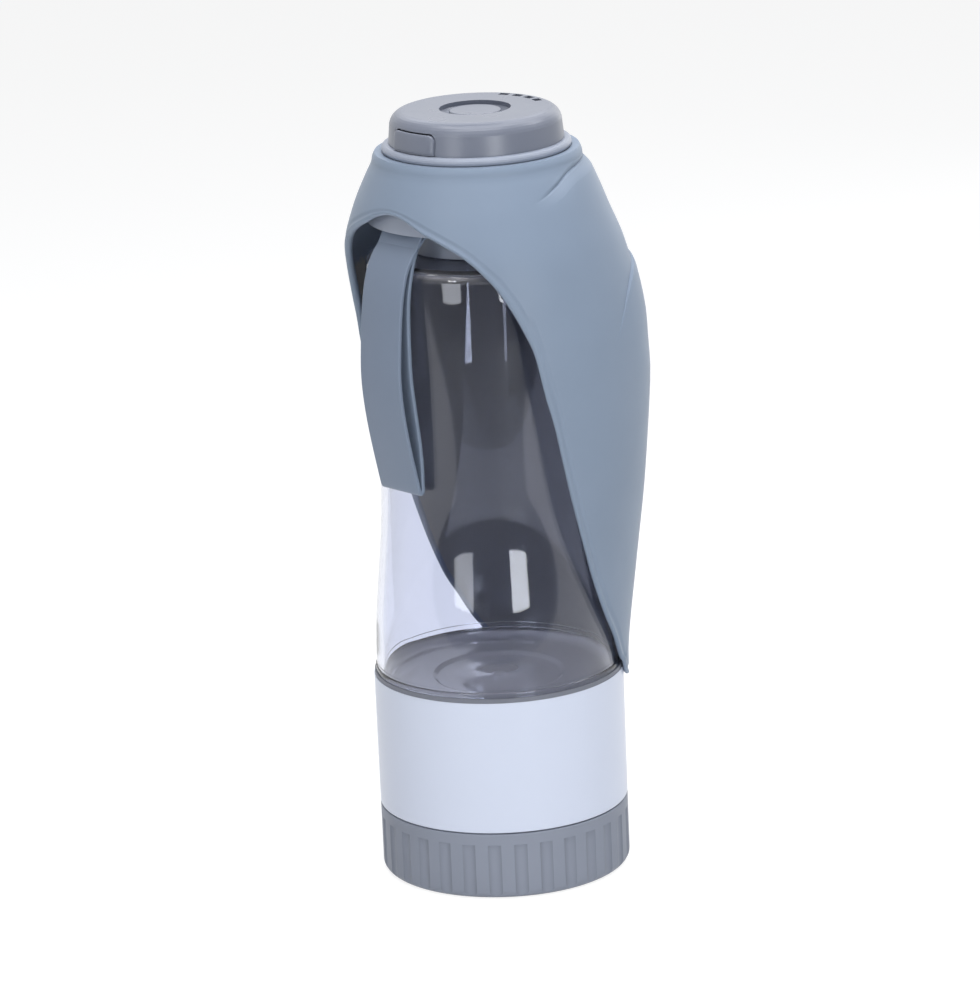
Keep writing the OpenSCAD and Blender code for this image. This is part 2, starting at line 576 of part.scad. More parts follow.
// Domed cap with a dish, a window for the button, water slots and a plug below
dish_side_angle = 30;
dish_floor_r = dish_r - dish_depth * cos(dish_side_angle);
seal_wire_r = 0.8;
plug_in_r = plug_r - plug_wall;
window_gap = 0.25;
tongue_z = cap_z + button_h / 3;
tongue_top_z = tongue_z + tongue_t;
hub_gap = 0.3;
knob_seal_wire_r = 0.6;
knob_seal_r = shaft_r + knob_seal_wire_r + turn_gap;
module cap_shell() color(cap_gray) difference() {
    union() {
        difference() {
            rotate_extrude($fn = side_fn) polygon(concat(
                [[0, cap_top_z]], [[plug_in_r, cap_z - plug_l], [plug_r, cap_z - plug_l], [plug_r, cap_z]],
                cap_side(0)));
            rotate_extrude($fn = side_fn) polygon(concat(
                [[0, cap_z - plug_l - overrun], [plug_in_r, cap_z - plug_l - overrun],
                 [plug_in_r, cap_z + cap_wall], [cap_r - cap_wall, cap_z + cap_wall]],
                arc(cap_r - cap_draft - cap_edge_r, cap_top_z - cap_edge_r, cap_edge_r - cap_wall, 0, 90),
                [[0, cap_roof_z]]));
        }
        translate([0, 0, dish_under_z]) cylinder(r = boss_r, h = cap_roof_z - dish_under_z + face_gap,
            $fn = part_fn);
        for (s = [-1, 1]) translate([s * (tongue_w / 2 + slide_gap + rail_w / 2) - rail_w / 2,
            -boss_r + rail_w, tongue_z - slide_gap])
            cube([rail_w, rail_l, dish_under_z - tongue_z + slide_gap + face_gap]);
    }
    // Dish with a sloping side round the knob
    translate([0, 0, dish_z]) rotate_extrude($fn = side_fn) polygon(concat(
        [[0, 0], [dish_floor_r, 0]],
        arc(dish_floor_r, dish_depth, dish_depth, -90, -dish_side_angle),
        [[dish_r, dish_depth], [dish_r, dish_depth + overrun], [0, dish_depth + overrun]]));
    // Shaft bore and the seat of its sealing ring
    translate([0, 0, dish_under_z - overrun])
        cylinder(r = shaft_r + turn_gap, h = cap_wall + 2 * overrun, $fn = part_fn);
    translate([0, 0, dish_z - 2 * knob_seal_wire_r])
        cylinder(r = knob_seal_r + knob_seal_wire_r + turn_gap, h = 2 * knob_seal_wire_r + overrun,
            $fn = part_fn);
    // Groove for the cap's sealing ring
    translate([0, 0, cap_z - plug_l / 2 - seal_wire_r]) washer(plug_r + overrun,
        plug_r - 2 * seal_wire_r, 2 * seal_wire_r);
    // Window for the push button
    translate([-button_w / 2 - window_gap, -cap_r - overrun, cap_z])
        cube([button_w + 2 * window_gap, cap_r + overrun - boss_r - slide_gap, button_h + window_gap * 2]);
    // Water slots near the rear edge
    for (i = [0 : slot_count - 1]) rotate([0, 0, (i - (slot_count - 1) / 2) * slot_pitch / slot_ring_r
        * 180 / PI]) translate([-slot_w / 2, slot_ring_r - slot_l / 2, cap_roof_z - overrun])
            cube([slot_w, slot_l, cap_wall + 2 * overrun]);
}

// Sealing ring round the cap's plug
module cap_seal() color(seal_gray) translate([0, 0, cap_z - plug_l / 2])
    o_ring(plug_r - seal_wire_r, seal_wire_r - turn_gap);

// Thumb button: a tab that follows the cap's side, with a slider and a wedge behind it
wedge_h = 3.5;
stem_head_r = 2.6;
stem_top_z = tongue_z - wedge_slope_share * stem_head_r + wedge_slope_share;
wedge_front_y = valve_y - stem_head_r - button_travel - soft_gap;
wedge_back_y = valve_y + stem_head_r + soft_gap;
function wedge_z(y) = stem_top_z + slide_gap / 2 + wedge_slope_share * (y - valve_y);
tab_in_r = cap_r - cap_wall + slide_gap;
spring_wire_r = 0.25;
module push_button() color(cap_gray) {
    intersection() {
        rotate_extrude($fn = side_fn) polygon(concat(
            [[tab_in_r, cap_z], [cap_r + button_proud, cap_z]], cap_side(button_proud),
            [[0, cap_top_z + button_proud], [0, cap_roof_z], [tab_in_r, cap_roof_z]]));
        translate([0, -tab_in_r / 2, 0]) rotate([90, 0, 0]) linear_extrude(cap_r) button_face();
    }
    translate([-tongue_w / 2, -tab_in_r - small_edge_r, tongue_z])
        cube([tongue_w, tab_in_r + small_edge_r + wedge_front_y + overrun, tongue_t]);
    across(tongue_w) polygon([
        [wedge_front_y, tongue_top_z], [wedge_front_y, wedge_z(wedge_front_y)],
        [wedge_back_y, wedge_z(wedge_back_y)], [wedge_back_y, tongue_top_z]]);
}
// Rounded outline of the tab, seen from the front
module button_face() {
    w = button_w / 2;
    top = cap_z + button_h;
    polygon(concat([[-w, cap_z + slide_gap], [w, cap_z + slide_gap]],
        arc(w - button_corner_r, top - button_corner_r, button_corner_r, 0, 90),
        arc(-w + button_corner_r, top - button_corner_r, button_corner_r, 90, 180)));
}

// Valve stem with a sloped head, a spring collar and a foot that carries the sealing disc
disc_z = deck_z - soft_gap - disc_h;
foot_h = 1.5;
foot_flange_r = 3.5;
collar_h = 1.2;
valve_spring_r = 2.35;
stem_collar_r = valve_spring_r + spring_wire_r + slide_gap;
stem_collar_z = wedge_z(wedge_front_y) - collar_h - button_travel * wedge_slope_share;
module valve_stem() color(valve_white) translate([0, valve_y, 0]) {
    translate([0, 0, disc_z - foot_h]) cylinder(r = foot_flange_r, h = foot_h, $fn = part_fn);
    translate([0, 0, disc_z - foot_h]) cylinder(r = stem_r, h = stem_collar_z + collar_h + foot_h - disc_z,
        $fn = part_fn);
    translate([0, 0, stem_collar_z]) cylinder(r = stem_collar_r, h = collar_h, $fn = part_fn);
    difference() {
        translate([0, 0, stem_collar_z]) cylinder(r = stem_head_r, h = tongue_top_z - stem_collar_z,
            $fn = part_fn);
        across(tongue_w) polygon([
            [-tongue_w, stem_top_z - wedge_slope_share * tongue_w],
            [tongue_w, stem_top_z + wedge_slope_share * tongue_w],
            [tongue_w, tongue_top_z + tongue_w], [-tongue_w, tongue_top_z + tongue_w]]);
    }
}
module valve_disc() color(seal_gray) translate([0, valve_y, disc_z])
    washer(disc_r, stem_r + turn_gap, disc_h);
module valve_spring() color(spring_steel) translate([0, valve_y, deck_top_z + guide_h + turn_gap])
    spring(stem_collar_z - deck_top_z - guide_h - 2 * turn_gap, valve_spring_r, spring_wire_r, 4);

// Round knob in the dish, on a shaft through the cap
knob_lift = 0.1;
knob_edge_r = 0.6;
hub_z = tongue_top_z + hub_gap;
module lock_knob() color(cap_gray) {
    rotate_extrude($fn = side_fn) polygon(concat(
        [[0, dish_z + knob_lift], [knob_r, dish_z + knob_lift]],
        arc(knob_r - knob_edge_r, dish_z + knob_h - knob_edge_r, knob_edge_r, 0, 90, 4),
        [[knob_r / 2, dish_z + knob_h + knob_lift], [0, dish_z + knob_h + 2 * knob_lift]]));
    translate([0, 0, hub_z]) cylinder(r = shaft_r, h = dish_z + knob_h / 2 - hub_z, $fn = part_fn);
}
module knob_seal() color(seal_gray) translate([0, 0, dish_z - knob_seal_wire_r])
    o_ring(knob_seal_r, knob_seal_wire_r);

// Shutter on the shaft's end: turned a quarter turn, it lies below the water slots and closes them
hub_r = 5.2;
hub_h = dish_under_z - slide_gap - hub_z;
plate_t = 1;
plate_z = cap_roof_z - hub_gap * 2 - plate_t;
riser_r = boss_r + soft_gap;
plate_r = cap_r - cap_wall - cap_edge_r / 2.4;
module shutter_sector(r) linear_extrude(cap_h) polygon([[0, 0],
    [r, -r * tan(shutter_half_angle)], [r, r * tan(shutter_half_angle)]]);
module outlet_shutter() color(valve_white) difference() {
    union() {
        translate([0, 0, hub_z]) cylinder(r = hub_r, h = hub_h, $fn = part_fn);
        intersection() {
            union() {
                translate([0, 0, hub_z]) cylinder(r = riser_r + plate_t, h = hub_h, $fn = side_fn);
                translate([0, 0, hub_z]) washer(riser_r + plate_t, riser_r, plate_z + plate_t - hub_z);
                translate([0, 0, plate_z]) washer(plate_r, riser_r, plate_t);
            }
            translate([0, 0, hub_z - overrun]) shutter_sector(cap_r);
        }
    }
    translate([0, 0, hub_z - overrun]) cylinder(r = shaft_r + turn_gap / 2, h = hub_h + 2 * overrun,
        $fn = part_fn);
}

base_cap();
base_seal();
food_cup();
cup_seal();
bottle_body();
neck_seal();
dispenser_body();
drinking_leaf();
strap_pin();
strap_anchor();
strap_loop();
cap_shell();
cap_seal();
push_button();
valve_stem();
valve_disc();
valve_spring();
lock_knob();
knob_seal();
outlet_shutter();
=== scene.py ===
import math

import bmesh
import bpy
import numpy as np
from mathutils import Matrix, Vector
from mathutils.bvhtree import BVHTree


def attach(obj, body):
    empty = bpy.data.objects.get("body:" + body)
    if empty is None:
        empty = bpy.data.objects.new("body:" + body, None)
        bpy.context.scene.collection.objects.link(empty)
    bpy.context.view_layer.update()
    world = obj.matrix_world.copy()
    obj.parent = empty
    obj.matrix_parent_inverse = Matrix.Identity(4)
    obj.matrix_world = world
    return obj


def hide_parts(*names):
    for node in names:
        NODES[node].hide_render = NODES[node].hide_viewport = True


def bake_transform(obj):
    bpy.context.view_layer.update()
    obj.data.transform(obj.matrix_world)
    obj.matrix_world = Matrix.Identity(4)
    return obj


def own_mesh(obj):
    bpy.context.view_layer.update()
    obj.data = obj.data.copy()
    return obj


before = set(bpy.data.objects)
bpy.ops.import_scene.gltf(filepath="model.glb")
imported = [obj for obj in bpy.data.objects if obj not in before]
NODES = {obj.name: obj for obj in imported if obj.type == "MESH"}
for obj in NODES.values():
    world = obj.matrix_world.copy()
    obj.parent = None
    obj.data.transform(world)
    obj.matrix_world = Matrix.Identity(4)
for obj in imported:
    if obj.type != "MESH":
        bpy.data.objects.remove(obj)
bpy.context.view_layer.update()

MM = 0.001


# ---------------------------------------------------------------- numbers
# Millimetres and degrees, the same values as in the solids. Z is up, the button and the strap
# are on the -Y side, and angles round the bottle start there.
RING_Z, RING_TOP_Z, RING_R = 65.2, 67.0, 38.5                      # foot ring
FLOOR_Z, FLOOR_UNDER_Z = 62.0, 59.0
SPIGOT_Z, SPIGOT_R, SPIGOT_WALL = 56.8, 36.6, 2.6                  # skirt inside the food cup
FOOT_R, WAIST_R, SHOULDER_R = 38.2, 34.2, 35.8
WALL_TOP_Z, SHOULDER_Z, NECK_TOP_Z = 195.0, 200.0, 213.0
EDGE_R, WALL = 4.2, 2.0
NECK_R, NECK_BORE = 20.4, 17.8
WAIST_SHARE = 0.47
TAPER_TOP_Z = SHOULDER_Z - EDGE_R
WAIST_Z = RING_TOP_Z + WAIST_SHARE * (TAPER_TOP_Z - RING_TOP_Z)
BELL_RIM_Z = 209.4
LEAF_TOP_Z, LEAF_LEN = 230.3, 173.7
LEAF_TIP_Z = LEAF_TOP_Z - LEAF_LEN


def ease(t):
    """Half a cosine wave from 0 at t = 0 to 1 at t = 1, level on both sides."""
    return (1 - np.cos(np.pi * np.clip(t, 0, 1))) / 2


def bottle_r(z):
    """Outside radius of the clear wall: it narrows to the waist and widens to the shoulder."""
    low = FOOT_R + (WAIST_R - FOOT_R) * ease((z - RING_TOP_Z) / (WAIST_Z - RING_TOP_Z))
    high = WAIST_R + (SHOULDER_R - WAIST_R) * ease((z - WAIST_Z) / (TAPER_TOP_Z - WAIST_Z))
    return np.where(z < WAIST_Z, low, high)


def curve(rows, x):
    """A smooth curve through the rows (x, y), as the solids use."""
    rows = np.array(rows, float)
    x = np.asarray(x, float)
    last = len(rows) - 1
    before = rows[[0] + list(range(last))]
    after = rows[list(range(1, last + 1)) + [last]]
    slopes = (after[:, 1] - before[:, 1]) / (after[:, 0] - before[:, 0])
    i = np.clip(np.searchsorted(rows[:, 0], x) - 1, 0, last - 1)
    h = rows[i + 1, 0] - rows[i, 0]
    u = (x - rows[i, 0]) / h
    return ((2 * u**3 - 3 * u**2 + 1) * rows[i, 1] + (u**3 - 2 * u**2 + u) * slopes[i] * h
            + (3 * u**2 - 2 * u**3) * rows[i + 1, 1] + (u**3 - u**2) * slopes[i + 1] * h)


def arc(x, y, r, start, end, steps):
    """Points at radius r round the centre (x, y), from one angle to the other."""
    angles = [math.radians(start + (end - start) * i / steps) for i in range(steps + 1)]
    return [(x + r * math.cos(a), y + r * math.sin(a)) for a in angles]


# ---------------------------------------------------------------- meshes
def new_object(name, verts, faces, material, sharp=32):
    """A smooth-shaded object. Edges that bend by more than the sharp angle stay sharp."""
    mesh = bpy.data.meshes.new(name)
    mesh.from_pydata([tuple(v) for v in verts], [], faces)
    mesh.validate()
    bm = bmesh.new()
    bm.from_mesh(mesh)
    bmesh.ops.recalc_face_normals(bm, faces=bm.faces)
    bm.to_mesh(mesh)
    bm.free()
    mesh.polygons.foreach_set("use_smooth", [True] * len(mesh.polygons))
    mesh.set_sharp_from_angle(angle=math.radians(sharp))
    mesh.materials.append(material)
    obj = bpy.data.objects.new(name, mesh)
    bpy.context.scene.collection.objects.link(obj)
    return obj


def lathe(name, profile, material, segments, sharp):
    """A closed profile of (radius, z) turned about Z. A point on the axis becomes one vertex."""
    verts, rings = [], []
    for r, z in profile:
        if r < 1e-6:
            rings.append([len(verts)] * segments)
            verts.append((0, 0, z * MM))
        else:
            rings.append(list(range(len(verts), len(verts) + segments)))
            for i in range(segments):
                a = 2 * math.pi * i / segments
                verts.append((r * MM * math.cos(a), r * MM * math.sin(a), z * MM))
    faces = []
    for one, two in zip(rings, rings[1:] + rings[:1]):
        for i in range(segments):
            k = (i + 1) % segments
            face = list(dict.fromkeys((one[i], one[k], two[k], two[i])))
            if len(face) > 2:
                faces.append(face)
    return new_object(name, verts, faces, material, sharp)


THREAD_STEPS, THREAD_SHARP = 120, 40      # steps in a turn
THREAD_ROOT, CREST_SHARE = 0.1, 0.45      # depth of its foot in the wall, width of its crest
THREAD_RUN_OUTS = 4                       # each end tapers over a quarter of a turn


def thread(name, radius, z0, z1, lead, section, material):
    """A screw ridge: a section (half height, depth) carried up a helix, tapering at both ends."""
    turns = (z1 - z0) / lead
    count = int(THREAD_STEPS * turns)
    half, depth = section
    crest = half * CREST_SHARE
    verts, faces = [], []
    for k in range(count + 1):
        u = k / count
        a = 2 * math.pi * turns * u
        grow = min(1.0, u * turns * THREAD_RUN_OUTS, (1 - u) * turns * THREAD_RUN_OUTS)
        z = z0 + (z1 - z0) * u
        for dz, dr in ((-half, -THREAD_ROOT), (-crest, depth * grow),
                       (crest, depth * grow), (half, -THREAD_ROOT)):
            r = radius + dr
            verts.append((r * MM * math.cos(a), r * MM * math.sin(a), (z + dz) * MM))
    for k in range(count):
        for i in range(4):
            a, b = 4 * k + i, 4 * k + (i + 1) % 4
            faces.append((a, b, b + 4, a + 4))
    faces += [(0, 1, 2, 3), tuple(4 * count + i for i in (3, 2, 1, 0))]
    return new_object(name, verts, faces, material, THREAD_SHARP)


def grid_skin(name, grid, material, sharp):
    """Closed skin from grid[column, row]: columns go round, rows go round the section."""
    columns, rows = grid.shape[:2]
    faces = []
    for i in range(columns):
        k = (i + 1) % columns
        for j in range(rows):
            m = (j + 1) % rows
            faces.append((i * rows + j, k * rows + j, k * rows + m, i * rows + m))
    return new_object(name, grid.reshape(-1, 3) * MM, faces, material, sharp)


# ---------------------------------------------------------------- materials
NOISE_LOW, NOISE_HIGH, NOISE_ROUGHNESS = 0.3, 0.7, 0.55   # most of a noise lies between the two


def linear(r, g, b):
    """An sRGB colour in steps of 255, as linear light."""
    def one(c):
        c = c / 255
        return c / 12.92 if c <= 0.04045 else ((c + 0.055) / 1.055) ** 2.4
    return (one(r), one(g), one(b), 1.0)


def around(colour, vary):
    """A darker and a lighter shade of the colour."""
    return (tuple(c * (1 - vary) for c in colour[:3]) + (1,),
            tuple(min(1, c * (1 + vary)) for c in colour[:3]) + (1,))


class Tree:
    """The nodes of a material or of the world."""

    def __init__(self, owner):
        owner.use_nodes = True
        self.nodes = owner.node_tree.nodes
        self.links = owner.node_tree.links

    def feed(self, node, inputs):
        """Gives each input its value, or a link from another node's output."""
        for key, value in inputs.items():
            if isinstance(value, bpy.types.NodeSocket):
                self.links.new(value, node.inputs[key])
            else:
                node.inputs[key].default_value = value

    def node(self, kind, inputs, **props):
        made = self.nodes.new(kind)
        for key, value in props.items():
            setattr(made, key, value)
        self.feed(made, inputs)
        return made.outputs

    def math(self, operation, *values):
        return self.node("ShaderNodeMath", dict(enumerate(values)), operation=operation)["Value"]

    def vector(self, operation, inputs, output="Vector"):
        return self.node("ShaderNodeVectorMath", inputs, operation=operation)[output]


class Mat(Tree):
    """A Principled material whose colour, roughness and bump come from object coordinates."""

    def __init__(self, name, **sockets):
        self.mat = bpy.data.materials.new(name)
        super().__init__(self.mat)
        self.shader = self.nodes["Principled BSDF"]
        self.feed(self.shader, {key.replace("_", " "): value for key, value in sockets.items()})
        self.coords = self.node("ShaderNodeTexCoord", {})["Object"]

    def noise(self, scale, detail, stretch=(1, 1, 1)):
        mapping = self.node("ShaderNodeMapping", {"Scale": stretch, "Vector": self.coords})
        return self.node("ShaderNodeTexNoise", {
            "Scale": scale, "Detail": detail, "Roughness": NOISE_ROUGHNESS,
            "Vector": mapping["Vector"]})["Fac"]

    def ramp(self, source, dark, light):
        made = self.nodes.new("ShaderNodeValToRGB")
        stops = ((NOISE_LOW, dark), (NOISE_HIGH, light))
        for element, (at, colour) in zip(made.color_ramp.elements, stops):
            element.position = at
            element.color = colour
        self.feed(made, {"Fac": source})
        return made.outputs["Color"]

    def spread(self, source, low, high):
        return self.node("ShaderNodeMapRange", {
            "To Min": low, "To Max": high, "From Min": NOISE_LOW, "From Max": NOISE_HIGH,
            "Value": source})["Result"]

    def painted_flute_shade(self, colour, depth):
        """Paints shade on the sides of flutes, darker where a round wall turns away from its own
        roundness.
        """
        outward = self.vector("NORMALIZE", {
            0: self.vector("MULTIPLY", {0: self.coords, 1: (1, 1, 0)})})
        normal = self.node("ShaderNodeTexCoord", {})["Normal"]
        facing = self.vector("DOT_PRODUCT", {0: outward, 1: normal}, "Value")
        rise = self.node("ShaderNodeSeparateXYZ", {0: normal})["Z"]
        plain = self.math("MULTIPLY_ADD", rise, rise, facing)     # level faces stay as they are
        shade = self.node("ShaderNodeMapRange", {
            "From Min": 0.86, "From Max": 1.0, "To Min": 1 - depth, "To Max": 1.0,
            "Value": plain})["Result"]
        return self.vector("SCALE", {0: colour, "Scale": shade})

    def bump(self, source, strength, distance, before=None):
        inputs = {"Strength": strength, "Distance": distance, "Height": source}
        if before is not None:
            inputs["Normal"] = before
        return self.node("ShaderNodeBump", inputs)["Normal"]


def textured(name, cloud, shades, wear, rough, relief=(), flutes=0.0, **sockets):
    """Colour between two shades, roughness between two values, and bumps one over the other.

    cloud and wear are the noises (scale, detail) of colour and roughness. Each bump of the
    relief is a (noise, strength, depth in metres). What is left goes to the shader's sockets.
    """
    m = Mat(name, **sockets)
    tint = m.ramp(m.noise(*cloud), *shades)
    # where flutes is given, painted shade darkens the colour on the flutes' sides
    m.feed(m.shader, {"Base Color": m.painted_flute_shade(tint, flutes) if flutes else tint})
    m.feed(m.shader, {"Roughness": m.spread(m.noise(*wear), *rough)})
    normal = None
    for noise, strength, depth in relief:
        normal = m.bump(m.noise(*noise), strength, depth, normal)
    if relief:
        m.feed(m.shader, {"Normal": normal})
    return m.mat


def plastic(name, colour, rough, vary=0.05, rubbed=0.05, **more):
    """Moulded plastic: slightly cloudy, with a fine spark-eroded grain and a few rubbed patches."""
    return textured(name, cloud=(22, 2), shades=around(colour, vary),
                    wear=(55, 3), rough=(rough - rubbed, rough + rubbed),
                    relief=(((1600, 2), 0.5, 0.00002), ((60, 3), 0.25, 0.00008)), **more)


def silicone(name, colour, rough):
    """Soft moulded silicone: satin, faintly cloudy, with a fine matt bloom and a little sheen."""
    return textured(name, cloud=(14, 5), shades=around(colour, 0.05),
                    wear=(38, 5), rough=(rough - 0.05, rough + 0.06),
                    relief=(((2200, 2), 0.4, 0.00002), ((45, 3), 0.25, 0.0001)),
                    Sheen_Weight=0.08, Sheen_Roughness=0.5, Specular_IOR_Level=0.4)


def milky(name, transmission):
    """The clear plastic where it is thick or matt underneath, and so slightly milky."""
    return textured(name, cloud=(30, 4), shades=((0.9, 0.9, 0.99, 1), (0.94, 0.94, 1, 1)),
                    wear=(60, 4), rough=(0.03, 0.1), relief=(((40, 2), 0.1, 0.0004),),
                    Transmission_Weight=transmission, IOR=1.5)


CAP = plastic("cap_plastic", linear(110, 115, 128), 0.31)
# the base's flutes get painted shade on their sides
BASE = plastic("base_plastic", linear(136, 141, 153), 0.46, flutes=0.2, Specular_IOR_Level=0.2)
COLLAR = plastic("collar_plastic", linear(146, 153, 167), 0.40)
CUP = plastic("cup_plastic", linear(206, 212, 227), 0.3, vary=0.004, rubbed=0.015,
              Subsurface_Weight=0.1, Subsurface_Radius=(0.002, 0.002, 0.002),
              Subsurface_Scale=1.0)
SEAL = plastic("seal_rubber", linear(112, 115, 125), 0.5)
INNER = plastic("inner_plastic", linear(214, 216, 220), 0.3)
LEAF = silicone("leaf_silicone", linear(125, 139, 157), 0.5)
# painted light: a lighter, warmer copy of the leaf's silicone for its inside, standing in for light
# that reaches it through the clear bottle
LEAF_INSIDE_PAINTED_LIGHT = silicone("leaf_silicone_inside_painted_light", linear(156, 155, 150), 0.6)
STRAP = silicone("strap_silicone", linear(115, 127, 145), 0.46)
CLEAR = textured("clear_plastic", cloud=(9, 3),
                 shades=((0.772, 0.797, 0.895, 1), (0.785, 0.812, 0.91, 1)),
                 wear=(40, 4), rough=(0.0, 0.02), relief=(((18, 2, (1, 1, 0.5)), 0.06, 0.0006),),
                 Transmission_Weight=1.0, IOR=1.5, Roughness=0.0,
                 Specular_Tint=(0.95, 0.95, 0.96, 1))
CLEAR_FLOOR = milky("clear_plastic_floor", 0.6)
CLEAR_CORNER = milky("clear_plastic_corner", 0.9)
STEEL = textured("spring_steel", cloud=(300, 3),
                 shades=((0.5, 0.51, 0.53, 1), (0.68, 0.69, 0.7, 1)),
                 wear=(500, 3), rough=(0.22, 0.34), Metallic=1.0)

for names, mat in (
    (("cap_shell", "push_button", "lock_knob"), CAP),
    (("dispenser_body", "strap_pin"), COLLAR),
    (("base_cap",), BASE),
    (("food_cup",), CUP),
    (("cup_seal", "base_seal", "neck_seal", "cap_seal", "knob_seal", "valve_disc"), SEAL),
    (("valve_stem", "outlet_shutter"), INNER),
    (("valve_spring",), STEEL),
):
    for name in names:
        mesh = NODES[name].data
        mesh.materials.clear()
        mesh.materials.append(mat)


# ---------------------------------------------------------------- clear bottle
BOTTLE_SEGMENTS, BOTTLE_SHARP, WALL_ROWS = 224, 50, 60
RING_EDGE_R, NECK_ROOT_R, NECK_RIM_R, NECK_INSIDE_R, FLOOR_EDGE_R = 0.45, 1.0, 0.5, 1.2, 3.0
SHOULDER_TURN = 80                        # degrees that the shoulder's rounding takes up
ROWS_IN_FLOOR_EDGE = 6                    # of the inner wall, whose place the rounding takes
# (radius, height from the floor's top) of a step in the floor and of the mark in its middle
FLOOR_STEP = ((21.2, 0), (20.5, -0.15), (19.7, -0.85), (19.0, -1.0))
GATE_MARK = ((2.6, -1.0), (2.2, -0.7), (1.5, -0.45), (0, -0.4))
# in metres: the floor, with what lies under it inside the spigot, and the shoulder's corner
MILKY_FOOT_LOW, MILKY_FOOT_TOP, MILKY_UNDER_R = 0.0585, 0.0645, 0.0345
MILKY_CORNER_LOW, MILKY_CORNER_R = 0.1965, 0.0305
MILKY_FLOOR_SLOT, MILKY_CORNER_SLOT = 1, 2
# lower end, upper end, lead and section of the ridges on the neck and on the cup
NECK_THREAD = (203.0, 211.0, 5.0, (0.55, 0.07))
CUP_NECK_R, CUP_THREAD = 36.5, (6.0, 19.0, 6.0, (0.7, 0.08))


def bottle_profile():
    """(radius, z) of the outside from the floor's underside to the neck, and of the inside."""
    z_wall = [RING_TOP_Z + (WALL_TOP_Z - RING_TOP_Z) * i / WALL_ROWS
              for i in range(WALL_ROWS + 1)]
    outer = [(float(bottle_r(z)), z) for z in z_wall]
    inner = [(float(bottle_r(z)) - WALL, z) for z in reversed(z_wall)]
    spigot_bore = SPIGOT_R - SPIGOT_WALL
    ring_edge, inside = RING_R - RING_EDGE_R, NECK_BORE + NECK_INSIDE_R
    rim_z = NECK_TOP_Z - NECK_RIM_R
    shoulder = SHOULDER_R - EDGE_R
    return [
        (0, FLOOR_UNDER_Z), (spigot_bore, FLOOR_UNDER_Z), (spigot_bore, SPIGOT_Z),
        (SPIGOT_R, SPIGOT_Z), (SPIGOT_R, RING_Z),
        *arc(ring_edge, RING_Z + RING_EDGE_R, RING_EDGE_R, -90, 0, 5),
        *arc(ring_edge, RING_TOP_Z - RING_EDGE_R, RING_EDGE_R, 0, 80, 5),
        *outer[1:],
        *arc(shoulder, WALL_TOP_Z, EDGE_R, 0, SHOULDER_TURN, 14)[1:],
        (NECK_R + NECK_ROOT_R, SHOULDER_Z),
        *arc(NECK_R + NECK_ROOT_R, SHOULDER_Z + NECK_ROOT_R, NECK_ROOT_R, -90, -180, 5)[1:],
        *arc(NECK_R - NECK_RIM_R, rim_z, NECK_RIM_R, 0, 90, 4),
        *arc(NECK_BORE + NECK_RIM_R, rim_z, NECK_RIM_R, 90, 180, 4),
        *arc(inside, SHOULDER_Z - WALL + NECK_INSIDE_R, NECK_INSIDE_R, 180, 270, 5),
        *arc(shoulder, WALL_TOP_Z, EDGE_R - WALL, SHOULDER_TURN, 0, 12),
        *inner[1:-ROWS_IN_FLOOR_EDGE],
        *arc(FOOT_R - WALL - FLOOR_EDGE_R, FLOOR_Z + FLOOR_EDGE_R, FLOOR_EDGE_R, 0, -90, 10),
        *[(r, FLOOR_Z + dz) for r, dz in FLOOR_STEP + GATE_MARK],
    ]


bottle = lathe("bottle_clear", bottle_profile(), CLEAR, BOTTLE_SEGMENTS, BOTTLE_SHARP)
bottle.data.materials.append(CLEAR_FLOOR)
bottle.data.materials.append(CLEAR_CORNER)
for polygon in bottle.data.polygons:
    centre = polygon.center
    r = math.hypot(centre.x, centre.y)
    if centre.z < MILKY_FOOT_TOP and (centre.z > MILKY_FOOT_LOW or r < MILKY_UNDER_R):
        polygon.material_index = MILKY_FLOOR_SLOT
    elif centre.z > MILKY_CORNER_LOW and r > MILKY_CORNER_R:
        polygon.material_index = MILKY_CORNER_SLOT
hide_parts("bottle_body")
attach(bottle, "bottle")
neck_thread = thread("neck_thread", NECK_R, *NECK_THREAD, CLEAR)
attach(neck_thread, "bottle")
cup_thread = thread("cup_thread", CUP_NECK_R, *CUP_THREAD, CUP)
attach(cup_thread, "bottle")


# ---------------------------------------------------------------- valve spring
# The spring sits between its seat and the stem's flange; here its solid is copied as its own mesh
# and carried with the head, and keeps its length.
coil = bpy.data.objects.new("valve_coil", NODES["valve_spring"].data.copy())
bpy.context.scene.collection.objects.link(coil)
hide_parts("valve_spring")
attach(coil, "head")
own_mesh(coil)


# ---------------------------------------------------------------- drinking leaf
# shares of the swell and of the setback, each by the share of the way down
UPPER = [(0, 0), (0.024, 0.122), (0.093, 0.511), (0.174, 0.856), (0.289, 1.054),
         (0.36, 1.08), (0.433, 1.036), (0.606, 0.842), (0.778, 0.565), (0.922, 0.535), (1, 0.669)]
BACK = [(0, 0), (0.093, 0), (0.174, 0.172), (0.289, 0.526), (0.36, 0.66), (0.433, 0.885),
        (0.606, 1), (0.778, 1), (0.922, 0.46), (1, 0.05)]
